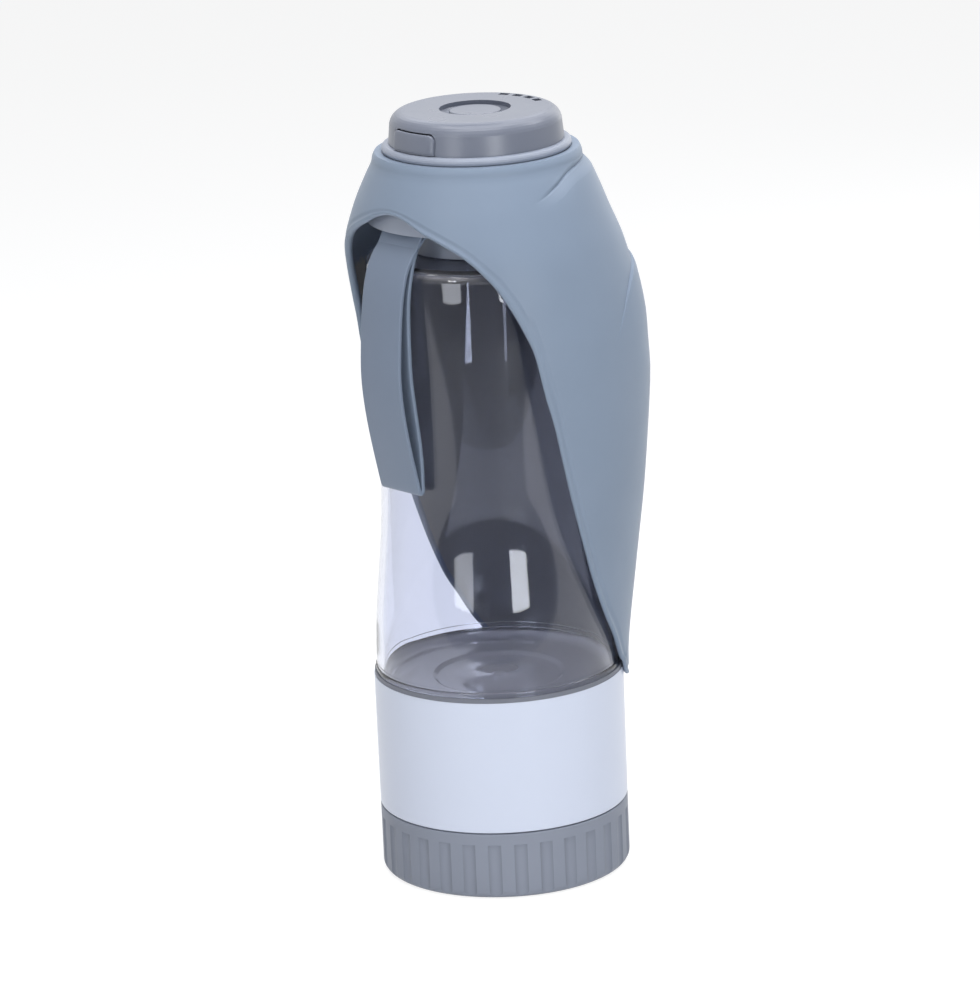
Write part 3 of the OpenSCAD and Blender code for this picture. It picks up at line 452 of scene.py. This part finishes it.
# shares of the height of the free edge and of both folds, each by the angle from the front
EDGE = [(-20, 0.973), (-10, 0.992), (0, 1), (10, 0.992), (20, 0.973), (30, 0.954), (39, 0.931),
        (46, 0.902), (52, 0.866), (56.5, 0.824), (60, 0.781), (63.5, 0.726), (66.5, 0.63),
        (71, 0.509), (77, 0.394), (83, 0.308), (88.5, 0.248), (97, 0.184), (107, 0.13),
        (118, 0.072), (128, 0.034), (140, 0.014), (160, 0.003), (180, 0), (200, 0.003)]
FOLD_ONE = [(-20, 0.955), (0, 0.955), (20, 0.955), (50, 0.944), (70, 0.93), (77, 0.934),
            (84, 0.943), (92, 0.954), (100, 0.965), (110, 0.972), (130, 0.975), (180, 0.976)]
FOLD_TWO = [(0, 0.64), (97, 0.66), (108, 0.716), (117, 0.753), (130, 0.778), (180, 0.80)]
NECK_LEAF_R, LEAF_R, TIP_R, SETBACK = 31.3, 45.2, 40.6, 7.2
END_SHARE, THINNING_SHARE = 0.669, 0.6
LEAF_WALL, TIP_WALL, LEAF_BAND, FOLD = 2.2, 1.4, 14.8, 1.1
LEAF_GAP, RING_CLEAR_R = 0.3, 39.1        # the leaf keeps off the bottle and off its foot ring

LEAF_COLUMNS, LEAF_SHARP, SLOPE_STEP = 300, 55, 0.4
ROLL_H, LEDGE_H, CREASE_H, OVER_H, LIP_H = 6.5, 3.0, 2.2, 1.6, 3.4
FOLD_ONE_FADE, FOLD_TWO_FADE = (73, 22), (97, 28)      # start and width of the folds' rise
FOLD_ONE_DIP, FOLD_TWO_DIP = (1.05, 1.4), (0.3, 1.6)   # depth and power of the creases
FOLD_ONE_RUN, FOLD_TWO_RUN = 1.6, 2                    # how fast a layer sinks back below it
UPPER_FOLD_SHARE, LOWER_OVER_SHARE = 0.8, 0.6
HOLLOW, HOLLOW_START = 0.34, 0.16
STOUT, STOUT_LOW_Z, STOUT_SPAN = 1.1, 112, 24          # thicker free edge, but not low down
# of the rolled top: height or depth, distance below the top edge, half width
BEAD, BEAD_AT, BEAD_HALF = 0.26, 1.1, 1.5
GROOVE, GROOVE_AT, GROOVE_HALF = 0.13, 4.2, 1.6
EDGE_TURN_STEPS, BRIM_STEPS = 8, 6
# bounds of the painted light on the leaf's inside: rows kept plain next to the free edge and next
# to the top, and the height above which it stays plain
PAINTED_LIGHT_SKIP_LOW, PAINTED_LIGHT_SKIP_TOP, PAINTED_LIGHT_TOP = 6, 8, 0.192    # rows, rows, metres


def leaf_down(z):
    """Share of the way down the leaf."""
    return (LEAF_TOP_Z - z) / LEAF_LEN


def leaf_radius(z):
    d = leaf_down(z)
    return (NECK_LEAF_R + (LEAF_R - NECK_LEAF_R) * curve(UPPER, d)
            + (TIP_R - NECK_LEAF_R - (LEAF_R - NECK_LEAF_R) * END_SHARE) * d**4)


def leaf_wall(z):
    thinner = ease((leaf_down(z) - THINNING_SHARE) / (1 - THINNING_SHARE))
    return LEAF_WALL + (TIP_WALL - LEAF_WALL) * thinner


def edge_z(a):
    return LEAF_TIP_Z + (LEAF_LEN - LEAF_BAND) * curve(EDGE, a)


def fold_one_z(a):
    return LEAF_TIP_Z + LEAF_LEN * curve(FOLD_ONE, a)


def fold_two_z(a):
    return np.maximum(LEAF_TIP_Z + LEAF_LEN * curve(FOLD_TWO, a),
                      edge_z(a) + 0.5 * (fold_one_z(a) - edge_z(a)))


def fade(a, start, width):
    return ease((a - start) / width)


def build_leaf():
    t = 360 * np.arange(LEAF_COLUMNS) / LEAF_COLUMNS
    a = np.where(t > 180, 360 - t, t)
    one, two, low = fold_one_z(a), fold_two_z(a), edge_z(a)

    # the free edge slopes, so its lip and rounding are measured square to it
    ahead, behind = np.clip(a + SLOPE_STEP, 0, 180), np.clip(a - SLOPE_STEP, 0, 180)
    slope = (edge_z(ahead) - edge_z(behind)) / (2 * SLOPE_STEP)
    slope = slope / (leaf_radius(low) * math.pi / 180)
    lean = np.sqrt(1 + slope**2)
    ledge = np.minimum(LEDGE_H, 0.3 * (one - two))
    crease = np.minimum(CREASE_H, 0.2 * (two - low))
    over = np.minimum(OVER_H, 0.3 * (one - two))
    over_two = over * LOWER_OVER_SHARE
    round_h = np.minimum(0.5 * leaf_wall(low) * lean, 0.3 * (two - low))
    lip_h = np.minimum(LIP_H * lean, 0.65 * (two - low))

    # heights of each column from the top edge down, with the number of rows to the next one
    roll_end = np.maximum(LEAF_TOP_Z - ROLL_H, one + over + 0.1)
    levels = [(np.full(LEAF_COLUMNS, LEAF_TOP_Z), 14), (roll_end, 4), (one + over, 7),
              (one, 12), (one - ledge, 26), (two + over_two, 5), (two, 7), (two - crease, 28),
              (low + lip_h, 18), (low + round_h, 1)]
    rows = []
    for (top, count), (bottom, _) in zip(levels, levels[1:]):
        rows += [top + (bottom - top) * k / count for k in range(count)]
    zs = np.array(rows + [low + round_h])      # row, column

    # below each fold the layer stands out; at the fold itself the skin dips into a crease
    fade_one, fade_two = fade(a, *FOLD_ONE_FADE), fade(a, *FOLD_TWO_FADE)
    back_one = ease(FOLD_ONE_RUN * (one - zs) / (one - two))
    back_two = ease(FOLD_TWO_RUN * (two - zs) / (two - low + 0.5))
    out_one = UPPER_FOLD_SHARE * FOLD * fade_one * (1 - back_one)
    out_two = FOLD * fade_two * (1 - back_two)
    out = np.where(zs > one, 0, np.where(zs > two, out_one, out_two))
    dip_one = np.where(zs > one, np.clip(1 - (zs - one) / over, 0, 1),
                       np.clip(1 - (one - zs) / ledge, 0, 1))
    dip_two = np.where(zs > two, np.clip(1 - (zs - two) / over_two, 0, 1),
                       np.clip(1 - (two - zs) / crease, 0, 1))
    (depth_one, power_one), (depth_two, power_two) = FOLD_ONE_DIP, FOLD_TWO_DIP
    rise = (out - depth_one * fade_one * dip_one**power_one
            - depth_two * fade_two * dip_two**power_two)

    # the free edge ends in a slim bead with a shallow hollow above it
    near = np.clip((zs - low) / np.maximum(lip_h, 1e-6), 0, 1)
    hollow_at = np.clip((near - HOLLOW_START) / (1 - HOLLOW_START), 0, 1)
    hollow = HOLLOW * np.sin(np.pi * hollow_at)**2
    stout = STOUT * (1 - near)**2 * ease((zs - STOUT_LOW_Z) / STOUT_SPAN)
    # the rolled top edge is a bead with a groove below it
    top = LEAF_TOP_Z - zs
    bead = (BEAD * np.clip(1 - (np.abs(top - BEAD_AT) / BEAD_HALF)**2, 0, 1)
            - GROOVE * np.exp(-((top - GROOVE_AT) / GROOVE_HALF)**2))

    def surface(z, inset, thick=0.0):
        """A ring of points, inset from the leaf's form and pushed off whatever is inside it."""
        r = leaf_radius(z) - inset
        x = r * np.sin(np.radians(t))
        y = SETBACK * curve(BACK, leaf_down(z)) - r * np.cos(np.radians(t))
        core = np.where(z > BELL_RIM_Z, 0,
                        np.where(z < RING_TOP_Z + 1, RING_CLEAR_R, bottle_r(z)))
        least = core + LEAF_GAP + leaf_wall(z) - np.maximum(inset, 0) + thick
        k = np.maximum(1, least / np.hypot(x, y))
        return np.stack([x * k, y * k, z], -1)

    outer = [surface(zs[j], hollow[j] - rise[j] - bead[j]) for j in range(len(zs))]
    inner = [surface(zs[j], leaf_wall(zs[j]) + stout[j], stout[j])
             for j in range(len(zs) - 1, -1, -1)]
    turn = []
    for k in range(1, EDGE_TURN_STEPS):
        b = math.pi * k / EDGE_TURN_STEPS
        mid = (outer[-1] + inner[0]) / 2 + (outer[-1] - inner[0]) / 2 * math.cos(b)
        mid[:, 2] = zs[-1] - round_h * math.sin(b)
        turn.append(mid)
    brim = [(inner[-1] + outer[0]) / 2
            + (inner[-1] - outer[0]) / 2 * math.cos(math.pi * k / BRIM_STEPS)
            for k in range(1, BRIM_STEPS)]
    grid = np.array(outer + turn + inner + brim).transpose(1, 0, 2)
    leaf = grid_skin("leaf_skin", grid, LEAF, LEAF_SHARP)

    # the inside gets painted light, a lighter copy of the silicone, apart from the rows next to
    # both edges and above a height
    leaf.data.materials.append(LEAF_INSIDE_PAINTED_LIGHT)
    start = len(outer) + len(turn)
    first, last = start + PAINTED_LIGHT_SKIP_LOW, start + len(inner) - PAINTED_LIGHT_SKIP_TOP
    height = grid.shape[1]
    for i, polygon in enumerate(leaf.data.polygons):
        if first <= i % height < last and polygon.center.z < PAINTED_LIGHT_TOP:
            polygon.material_index = 1
    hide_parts("drinking_leaf")
    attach(leaf, "head")


build_leaf()


# ---------------------------------------------------------------- push button
CAP_Z, TAB_W, TAB_H, TAB_CORNER, TAB_PROUD, WINDOW_GAP = 233.0, 17.6, 6.2, 2.2, 0.6, 0.25
TAB_LIFT, TAB_LOW_CORNER, TAB_SHARP = 0.35, 0.7, 50
CORNER_CUTS, LONG_EDGE_CUTS = 6, 12
# the face's rim sinks to the tab's solid, then rounds over and swells slightly
FACE_RIM, FACE_SINK, FACE_ROUND, FACE_SWELL, FACE_MIDDLE = 0.02, 0.35, 1.3, 0.32, 0.33
FACE_INSETS, FACE_SCALES = (0.08, 0.22, 0.42, 0.7, 1.0, 1.3), (0.8, 0.55, 0.3, 0.08)
CORNER_EXTRA_R, CORNER_MARGIN, CORNER_PROUD, CORNER_DEPTH, CORNER_SHARP = 0.45, 0.15, 0.02, 1.5, 40
PROBE_ANGLE, PROBE_DISTANCE = 50, 0.08    # degrees from the button, metres from the axis


def cap_side():
    """Radius of the cap's side at a height, measured on the solid away from the button."""
    mesh = NODES["cap_shell"].data
    tree = BVHTree.FromPolygons([v.co for v in mesh.vertices],
                                [tuple(q.vertices) for q in mesh.polygons])
    angle = math.radians(PROBE_ANGLE)
    aim = Vector((math.sin(angle), -math.cos(angle), 0))

    def at(z):
        hit = tree.ray_cast(Vector((0, 0, z * MM)) + aim * PROBE_DISTANCE, -aim)[0]
        return math.hypot(hit.x, hit.y) / MM
    return at


def on_side(side, x, z, proud):
    """The point at x and z that stands proud of the cap's side."""
    r = side(z) + proud
    return (x * MM, -math.sqrt(r * r - x * x) * MM, z * MM)


def build_button_face(side):
    """The tab's thin rounded face, which the button's solid leaves flat."""
    z0, z1, w = CAP_Z + TAB_LIFT, CAP_Z + TAB_H, TAB_W / 2
    middle = (z0 + z1) / 2

    def outline(d, scale):
        points = []
        for sx, sz, r, a in ((1, 1, TAB_CORNER, 0), (-1, 1, TAB_CORNER, 90),
                             (-1, -1, TAB_LOW_CORNER, 180), (1, -1, TAB_LOW_CORNER, 270)):
            r = max(r - d, 0.05)
            cx, cz = sx * (w - d - r), (z1 - d - r if sz > 0 else z0 + d + r)
            corner = arc(cx, cz, r, a, a + 90, CORNER_CUTS)
            if a in (0, 180):
                # the long straight edge is cut into short lengths, to follow the cap's curve
                x, z = corner[-1]
                corner += [(x * (1 - 2 * k / LONG_EDGE_CUTS), z)
                           for k in range(1, LONG_EDGE_CUTS)]
            points += [(x * scale, middle + (z - middle) * scale) for x, z in corner]
        return points

    rings = [(FACE_RIM, 1, -FACE_SINK), (FACE_RIM, 1, 0.0)]
    rings += [(d, 1, FACE_SWELL * math.sqrt(1 - (1 - d / FACE_ROUND)**2)) for d in FACE_INSETS]
    rings += [(FACE_ROUND, scale, FACE_MIDDLE) for scale in FACE_SCALES]
    verts, faces = [], []
    for d, scale, proud in rings:
        verts += [on_side(side, x, z, TAB_PROUD + proud) for x, z in outline(d, scale)]
    n = len(verts) // len(rings)
    for j in range(len(rings) - 1):
        for i in range(n):
            k = (i + 1) % n
            faces.append((j * n + i, j * n + k, (j + 1) * n + k, (j + 1) * n + i))
    faces += [tuple(range(n)), tuple((len(rings) - 1) * n + i for i in range(n))]
    face = new_object("button_face", verts, faces, CAP, TAB_SHARP)
    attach(face, "button")


def build_window_corners(side):
    """The window's upper corners are rounded round the tab."""
    xc, zt = TAB_W / 2 + WINDOW_GAP, CAP_Z + TAB_H + 2 * WINDOW_GAP
    r = TAB_CORNER + CORNER_EXTRA_R
    edge = arc(xc - r, zt - r, r, 0, 90, 9)
    x_out, z_out = xc + CORNER_MARGIN, zt + CORNER_MARGIN
    rim = [(x_out, edge[0][1]), *edge, (edge[-1][0], z_out), (x_out, z_out)]
    m = len(rim)
    faces = [(m - 1, i, i + 1) for i in range(m - 2)]
    faces += [(2 * m - 1, m + i + 1, m + i) for i in range(m - 2)]
    faces += [(i, (i + 1) % m, m + (i + 1) % m, m + i) for i in range(m)]
    for name, sx in (("window_corner_a", 1), ("window_corner_b", -1)):
        verts = [on_side(side, sx * x, z, proud)
                 for proud in (CORNER_PROUD, -CORNER_DEPTH) for x, z in rim]
        corner = new_object(name, verts, faces, CAP, CORNER_SHARP)
        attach(corner, "head")


cap_side_at = cap_side()
build_button_face(cap_side_at)
build_window_corners(cap_side_at)


# ---------------------------------------------------------------- strap
HINGE_Y, HINGE_Z, STRAP_W, STRAP_T = -33.3975, 206.995, 17.5, 1.3
PIN_Y, PIN_Z = -28.15, 211.72
STRAP_H, STRAP_BOW, STRAP_GAP = 77.0, 10.0, 4.9
# shares of the bow outwards and of the gap between both layers, by the share of the way down
OUT = [(0, 0), (0.05, 0.33), (0.1, 0.52), (0.17, 0.7), (0.29, 0.86), (0.42, 0.955),
       (0.53, 1), (0.64, 0.94), (0.75, 0.81), (0.87, 0.62), (1, 0.39)]
GAP = [(0, 0), (0.05, 0.3), (0.12, 0.49), (0.2, 0.56), (0.3, 0.69), (0.42, 0.83),
       (0.55, 0.96), (0.66, 1), (0.78, 0.93), (0.88, 0.74), (0.95, 0.5), (1, 0.29)]
STRAP_STEPS, FIRST_STEP, FOLD_STEPS = 46, 3, 8
SHARE_STEP = 0.01                         # for the band's direction
# where both layers pass at the bend: (distance along the band, distance to each side)
BEND_START, BEND_MIDDLE, BEND_END = (0.2, 0.42), (2.5, 0.45), (2.6, 0.9)
WRAP_R, WRAP_STEPS = 1.9, 10              # round the pin
BEND_THINNING, BEND_LOW, BEND_SPAN = 0.42, 3, 4
STRAP_EDGE_R, STRAP_EDGE_STEPS, STRAP_SHARP, SMOOTHINGS = 0.42, 4, 60, 2


def unit(v):
    return v / np.linalg.norm(v)


def left_of(v):
    return np.array([-v[1], v[0]])


def strap_path():
    """(y, z) of the band's middle: down, back up, over the pin, and down to the start."""
    def at(u):
        return np.array([HINGE_Y - STRAP_BOW * float(curve(OUT, u)), HINGE_Z - STRAP_H * u])

    def beside(u, d):
        ahead, behind = at(min(u + SHARE_STEP, 1)), at(max(u - SHARE_STEP, 0))
        return at(u) + d * left_of(unit(ahead - behind))

    def gap(u):
        return float(curve(GAP, u)) * STRAP_GAP

    outer = [at(k / STRAP_STEPS) for k in range(FIRST_STEP, STRAP_STEPS + 1)]
    inner = [beside(k / STRAP_STEPS, gap(k / STRAP_STEPS))
             for k in range(STRAP_STEPS, FIRST_STEP - 1, -1)]
    # the lower fold is half a circle from one layer to the other
    radius = gap(1) / 2
    centre = beside(1, radius)
    down = unit(at(1) - at(1 - SHARE_STEP))
    across = left_of(down)
    fold = [centre - across * radius * math.cos(b) + down * radius * math.sin(b)
            for b in [math.pi * k / FOLD_STEPS for k in range(1, FOLD_STEPS)]]

    # both layers close up at the bend and pass round the pin as one loop
    pin = np.array([PIN_Y, PIN_Z])
    hinge = np.array([HINGE_Y, HINGE_Z])
    along = unit(pin - hinge)
    side = left_of(along)

    def layer(sign):
        (start, start_side), (middle, middle_side), (end, end_side) = (
            BEND_START, BEND_MIDDLE, BEND_END)
        return [hinge - along * start + side * sign * start_side,
                hinge + along * middle + side * sign * middle_side,
                pin - along * end + side * sign * end_side]

    wrap = [pin + WRAP_R * (-side * math.cos(b) + along * math.sin(b))
            for b in [math.pi * k / WRAP_STEPS for k in range(-1, WRAP_STEPS + 2)]]
    # the first layer lies on the side away from the bottle
    return np.array(outer + fold + inner + layer(1) + wrap[::-1] + layer(-1)[::-1])


def smooth_loop(points, rounds):
    for _ in range(rounds):
        points = (np.roll(points, 1, 0) + 2 * points + np.roll(points, -1, 0)) / 4
    return points


def build_strap():
    path = smooth_loop(strap_path(), SMOOTHINGS)
    tangent = np.roll(path, -1, 0) - np.roll(path, 1, 0)
    tangent /= np.linalg.norm(tangent, axis=1)[:, None]
    normal = np.stack([-tangent[:, 1], tangent[:, 0]], 1)
    high = np.clip((path[:, 1] - (HINGE_Z - BEND_LOW)) / BEND_SPAN, 0, 1)
    half_t = (STRAP_T - BEND_THINNING * high) / 2
    w, c = STRAP_W / 2, STRAP_EDGE_R
    section = []
    for sx, sy, start in ((1, 1, 0), (-1, 1, 90), (-1, -1, 180), (1, -1, 270)):
        for k in range(STRAP_EDGE_STEPS + 1):
            b = math.radians(start + 90 * k / STRAP_EDGE_STEPS)
            section.append((sx * (w - c) + c * math.cos(b), sy, c * math.sin(b)))
    grid = np.zeros((len(path), len(section), 3))
    for i, point in enumerate(path):
        for j, (x, sy, o) in enumerate(section):
            p = point + normal[i] * (sy * (half_t[i] - c) + o)
            grid[i, j] = (x, p[0], p[1])
    strap = grid_skin("strap_band", grid, STRAP, STRAP_SHARP)
    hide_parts("strap_loop", "strap_anchor")
    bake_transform(strap)


build_strap()


# ---------------------------------------------------------------- stage, light and camera
# Metres, degrees and watts from here on.
FLOOR_HALF, FLOOR_DROP = 6.0, 0.0001
FLOOR_COLOUR, FLOOR_ROUGHNESS = (0.8, 0.8, 0.8, 1), 0.9
FLOOR_MATT, FLOOR_GLOW = (0.24, 0.24, 0.24, 1), 0.86
# in reflections the lit table ends in front of the object, and the studio beyond it is darker
TABLE_FORWARD, TABLE_EDGE, TABLE_EDGE_END, BEYOND_TABLE = (0.737, -0.676, 0.0), 0.385, 0.4, 0.82
SCATTERED_SHARE = 0.75
WORLD_DIM, WORLD_DIM_STRENGTH = (0.93, 0.96, 1, 1), 0.18
WORLD_SEEN, WORLD_SEEN_STRENGTH = (1, 1, 1, 1), 1.0

CAM_AZ, CAM_EL, CAM_ROLL = math.radians(47.5), math.radians(15.78), math.radians(2.45)
CAM_DIST = 1.745
PHOTO_SIDE, FOCAL_PIXELS, SHIFT_X_PIXELS, SHIFT_Y_PIXELS = 981, 5600, -2.1, 18.6
SENSOR, CLIP_NEAR, CLIP_FAR = 36, 0.05, 50
AIM = Vector((0, 0, 0.115))

WHITE, COOL, COOL_KEY, COOL_TOP, COOL_BACK = (
    (1, 1, 1), (0.94, 0.97, 1), (0.95, 0.97, 1), (0.94, 0.955, 1), (0.9, 0.93, 1))
# name, azimuth from the camera, elevation, distance, width, height, power, colour, aim's height
SOFTBOXES = (
    ("left_strip", -30.5, 0, 0.62, 0.2, 0.24, 0.56, COOL, 0.154),
    ("right_strip", 23.5, 0, 0.62, 0.18, 0.26, 1.1, COOL, 0.164),
    ("spark_box", -32, 34, 0.9, 0.1, 0.1, 0.7, WHITE, AIM.z),
    ("right_panel", 78, 0, 0.55, 0.4, 0.36, 0.03, WHITE, 0.18),
    ("left_panel", -88, 0, 0.55, 0.4, 0.3, 0.05, WHITE, 0.15),
    ("fill_box", -92, 66, 0.9, 0.26, 0.26, 0.6, WHITE, AIM.z),
    ("key_box", 116, 60, 0.9, 0.6, 0.36, 1.8, COOL_KEY, AIM.z),
    ("edge_box", 103, 43, 0.9, 0.3, 0.2, 1.0, COOL_KEY, AIM.z),
    ("top_box", 4, 77, 0.75, 0.6, 0.6, 4.3, COOL_TOP, AIM.z),
    ("rim_box", 150, 25, 0.9, 0.4, 0.9, 0.9, WHITE, AIM.z),
    ("back_box", 185, 50, 0.9, 0.6, 0.6, 1.6, COOL_BACK, AIM.z),
)


def mixed(tree, seen, lit, output):
    """Rays from the camera, a reflection or a clear piece meet seen, and all others meet lit."""
    path = tree.node("ShaderNodeLightPath", {})
    through = tree.math("MAXIMUM", path["Is Glossy Ray"], path["Is Transmission Ray"])
    direct = tree.math("MAXIMUM", path["Is Camera Ray"], through)
    # a ray that a matt surface has already scattered keeps only a share of seen
    share = tree.node("ShaderNodeMapRange", {
        "From Max": 1.0, "To Min": 1.0, "To Max": SCATTERED_SHARE,
        "Value": path["Diffuse Depth"]})["Result"]
    both = tree.math("MULTIPLY", direct, share)
    mix = tree.node("ShaderNodeMixShader", {0: both, 1: lit, 2: seen})
    tree.links.new(mix["Shader"], output)


def floor_material():
    mat = bpy.data.materials.new("floor_white")
    tree = Tree(mat)
    plain = tree.nodes["Principled BSDF"]
    tree.feed(plain, {"Base Color": FLOOR_COLOUR, "Roughness": FLOOR_ROUGHNESS})
    matt = tree.node("ShaderNodeBsdfDiffuse", {"Color": FLOOR_MATT})["BSDF"]
    coords = tree.node("ShaderNodeTexCoord", {})["Object"]
    forward = tree.vector("DOT_PRODUCT", {0: coords, 1: TABLE_FORWARD}, "Value")
    beyond = tree.node("ShaderNodeMapRange", {
        "From Min": TABLE_EDGE, "From Max": TABLE_EDGE_END, "To Min": 0.0,
        "To Max": BEYOND_TABLE, "Value": forward})["Result"]
    path = tree.node("ShaderNodeLightPath", {})
    darker = tree.math("MULTIPLY", beyond, path["Is Glossy Ray"])
    level = tree.math("SUBTRACT", 1.0, darker)
    glow = tree.node("ShaderNodeEmission", {"Strength": FLOOR_GLOW, "Color": level})["Emission"]
    seen = tree.node("ShaderNodeAddShader", {0: matt, 1: glow})["Shader"]
    mixed(tree, seen, plain.outputs["BSDF"], tree.nodes["Material Output"].inputs["Surface"])
    return mat


def build_stage():
    size = FLOOR_HALF
    verts = [(-size, -size, 0), (size, -size, 0), (size, size, 0), (-size, size, 0)]
    floor = new_object("floor", verts, [(0, 1, 2, 3)], floor_material())
    floor.location.z = -FLOOR_DROP
    world = bpy.data.worlds.new("studio")
    bpy.context.scene.world = world
    tree = Tree(world)
    dim = tree.nodes["Background"]
    tree.feed(dim, {"Color": WORLD_DIM, "Strength": WORLD_DIM_STRENGTH})
    white = tree.node("ShaderNodeBackground", {
        "Color": WORLD_SEEN, "Strength": WORLD_SEEN_STRENGTH})["Background"]
    surface = tree.nodes["World Output"].inputs["Surface"]
    mixed(tree, white, dim.outputs["Background"], surface)


def direction(azimuth, elevation):
    a, e = math.radians(azimuth), math.radians(elevation)
    return Vector((math.sin(a) * math.cos(e), -math.cos(a) * math.cos(e), math.sin(e)))


def softbox(name, azimuth, elevation, distance, width, height, power, colour, aim_z):
    data = bpy.data.lights.new(name, "AREA")
    data.shape = "RECTANGLE"
    data.size, data.size_y = width, height
    data.energy = power
    data.color = colour
    lamp = bpy.data.objects.new(name, data)
    back = direction(azimuth, elevation)
    lamp.location = Vector((0, 0, aim_z)) + back * distance
    lamp.rotation_mode = "QUATERNION"
    lamp.rotation_quaternion = (-back).to_track_quat("-Z", "Y")
    lamp.visible_camera = False
    bpy.context.scene.collection.objects.link(lamp)


def build_lights():
    view = math.degrees(CAM_AZ)
    for name, azimuth, *rest in SOFTBOXES:
        softbox(name, view + azimuth, *rest)


def build_camera():
    right = Vector((math.cos(CAM_AZ), math.sin(CAM_AZ), 0))
    back = direction(math.degrees(CAM_AZ), math.degrees(CAM_EL))
    up = back.cross(right)
    c, s = math.cos(CAM_ROLL), math.sin(CAM_ROLL)
    x_axis = c * right - s * up
    y_axis = s * right + c * up
    data = bpy.data.cameras.new("camera")
    data.sensor_width = SENSOR
    data.lens = SENSOR * FOCAL_PIXELS / PHOTO_SIDE
    data.shift_x = SHIFT_X_PIXELS / PHOTO_SIDE
    data.shift_y = SHIFT_Y_PIXELS / PHOTO_SIDE
    data.clip_start, data.clip_end = CLIP_NEAR, CLIP_FAR
    camera = bpy.data.objects.new("camera", data)
    camera.matrix_world = Matrix((
        (x_axis.x, y_axis.x, back.x, 0), (x_axis.y, y_axis.y, back.y, 0),
        (x_axis.z, y_axis.z, back.z, 0), (0, 0, 0, 1)))
    camera.location = AIM + back * CAM_DIST
    bpy.context.scene.collection.objects.link(camera)
    bpy.context.scene.camera = camera


build_stage()
build_lights()
build_camera()
bpy.context.scene.view_settings.view_transform = "Standard"
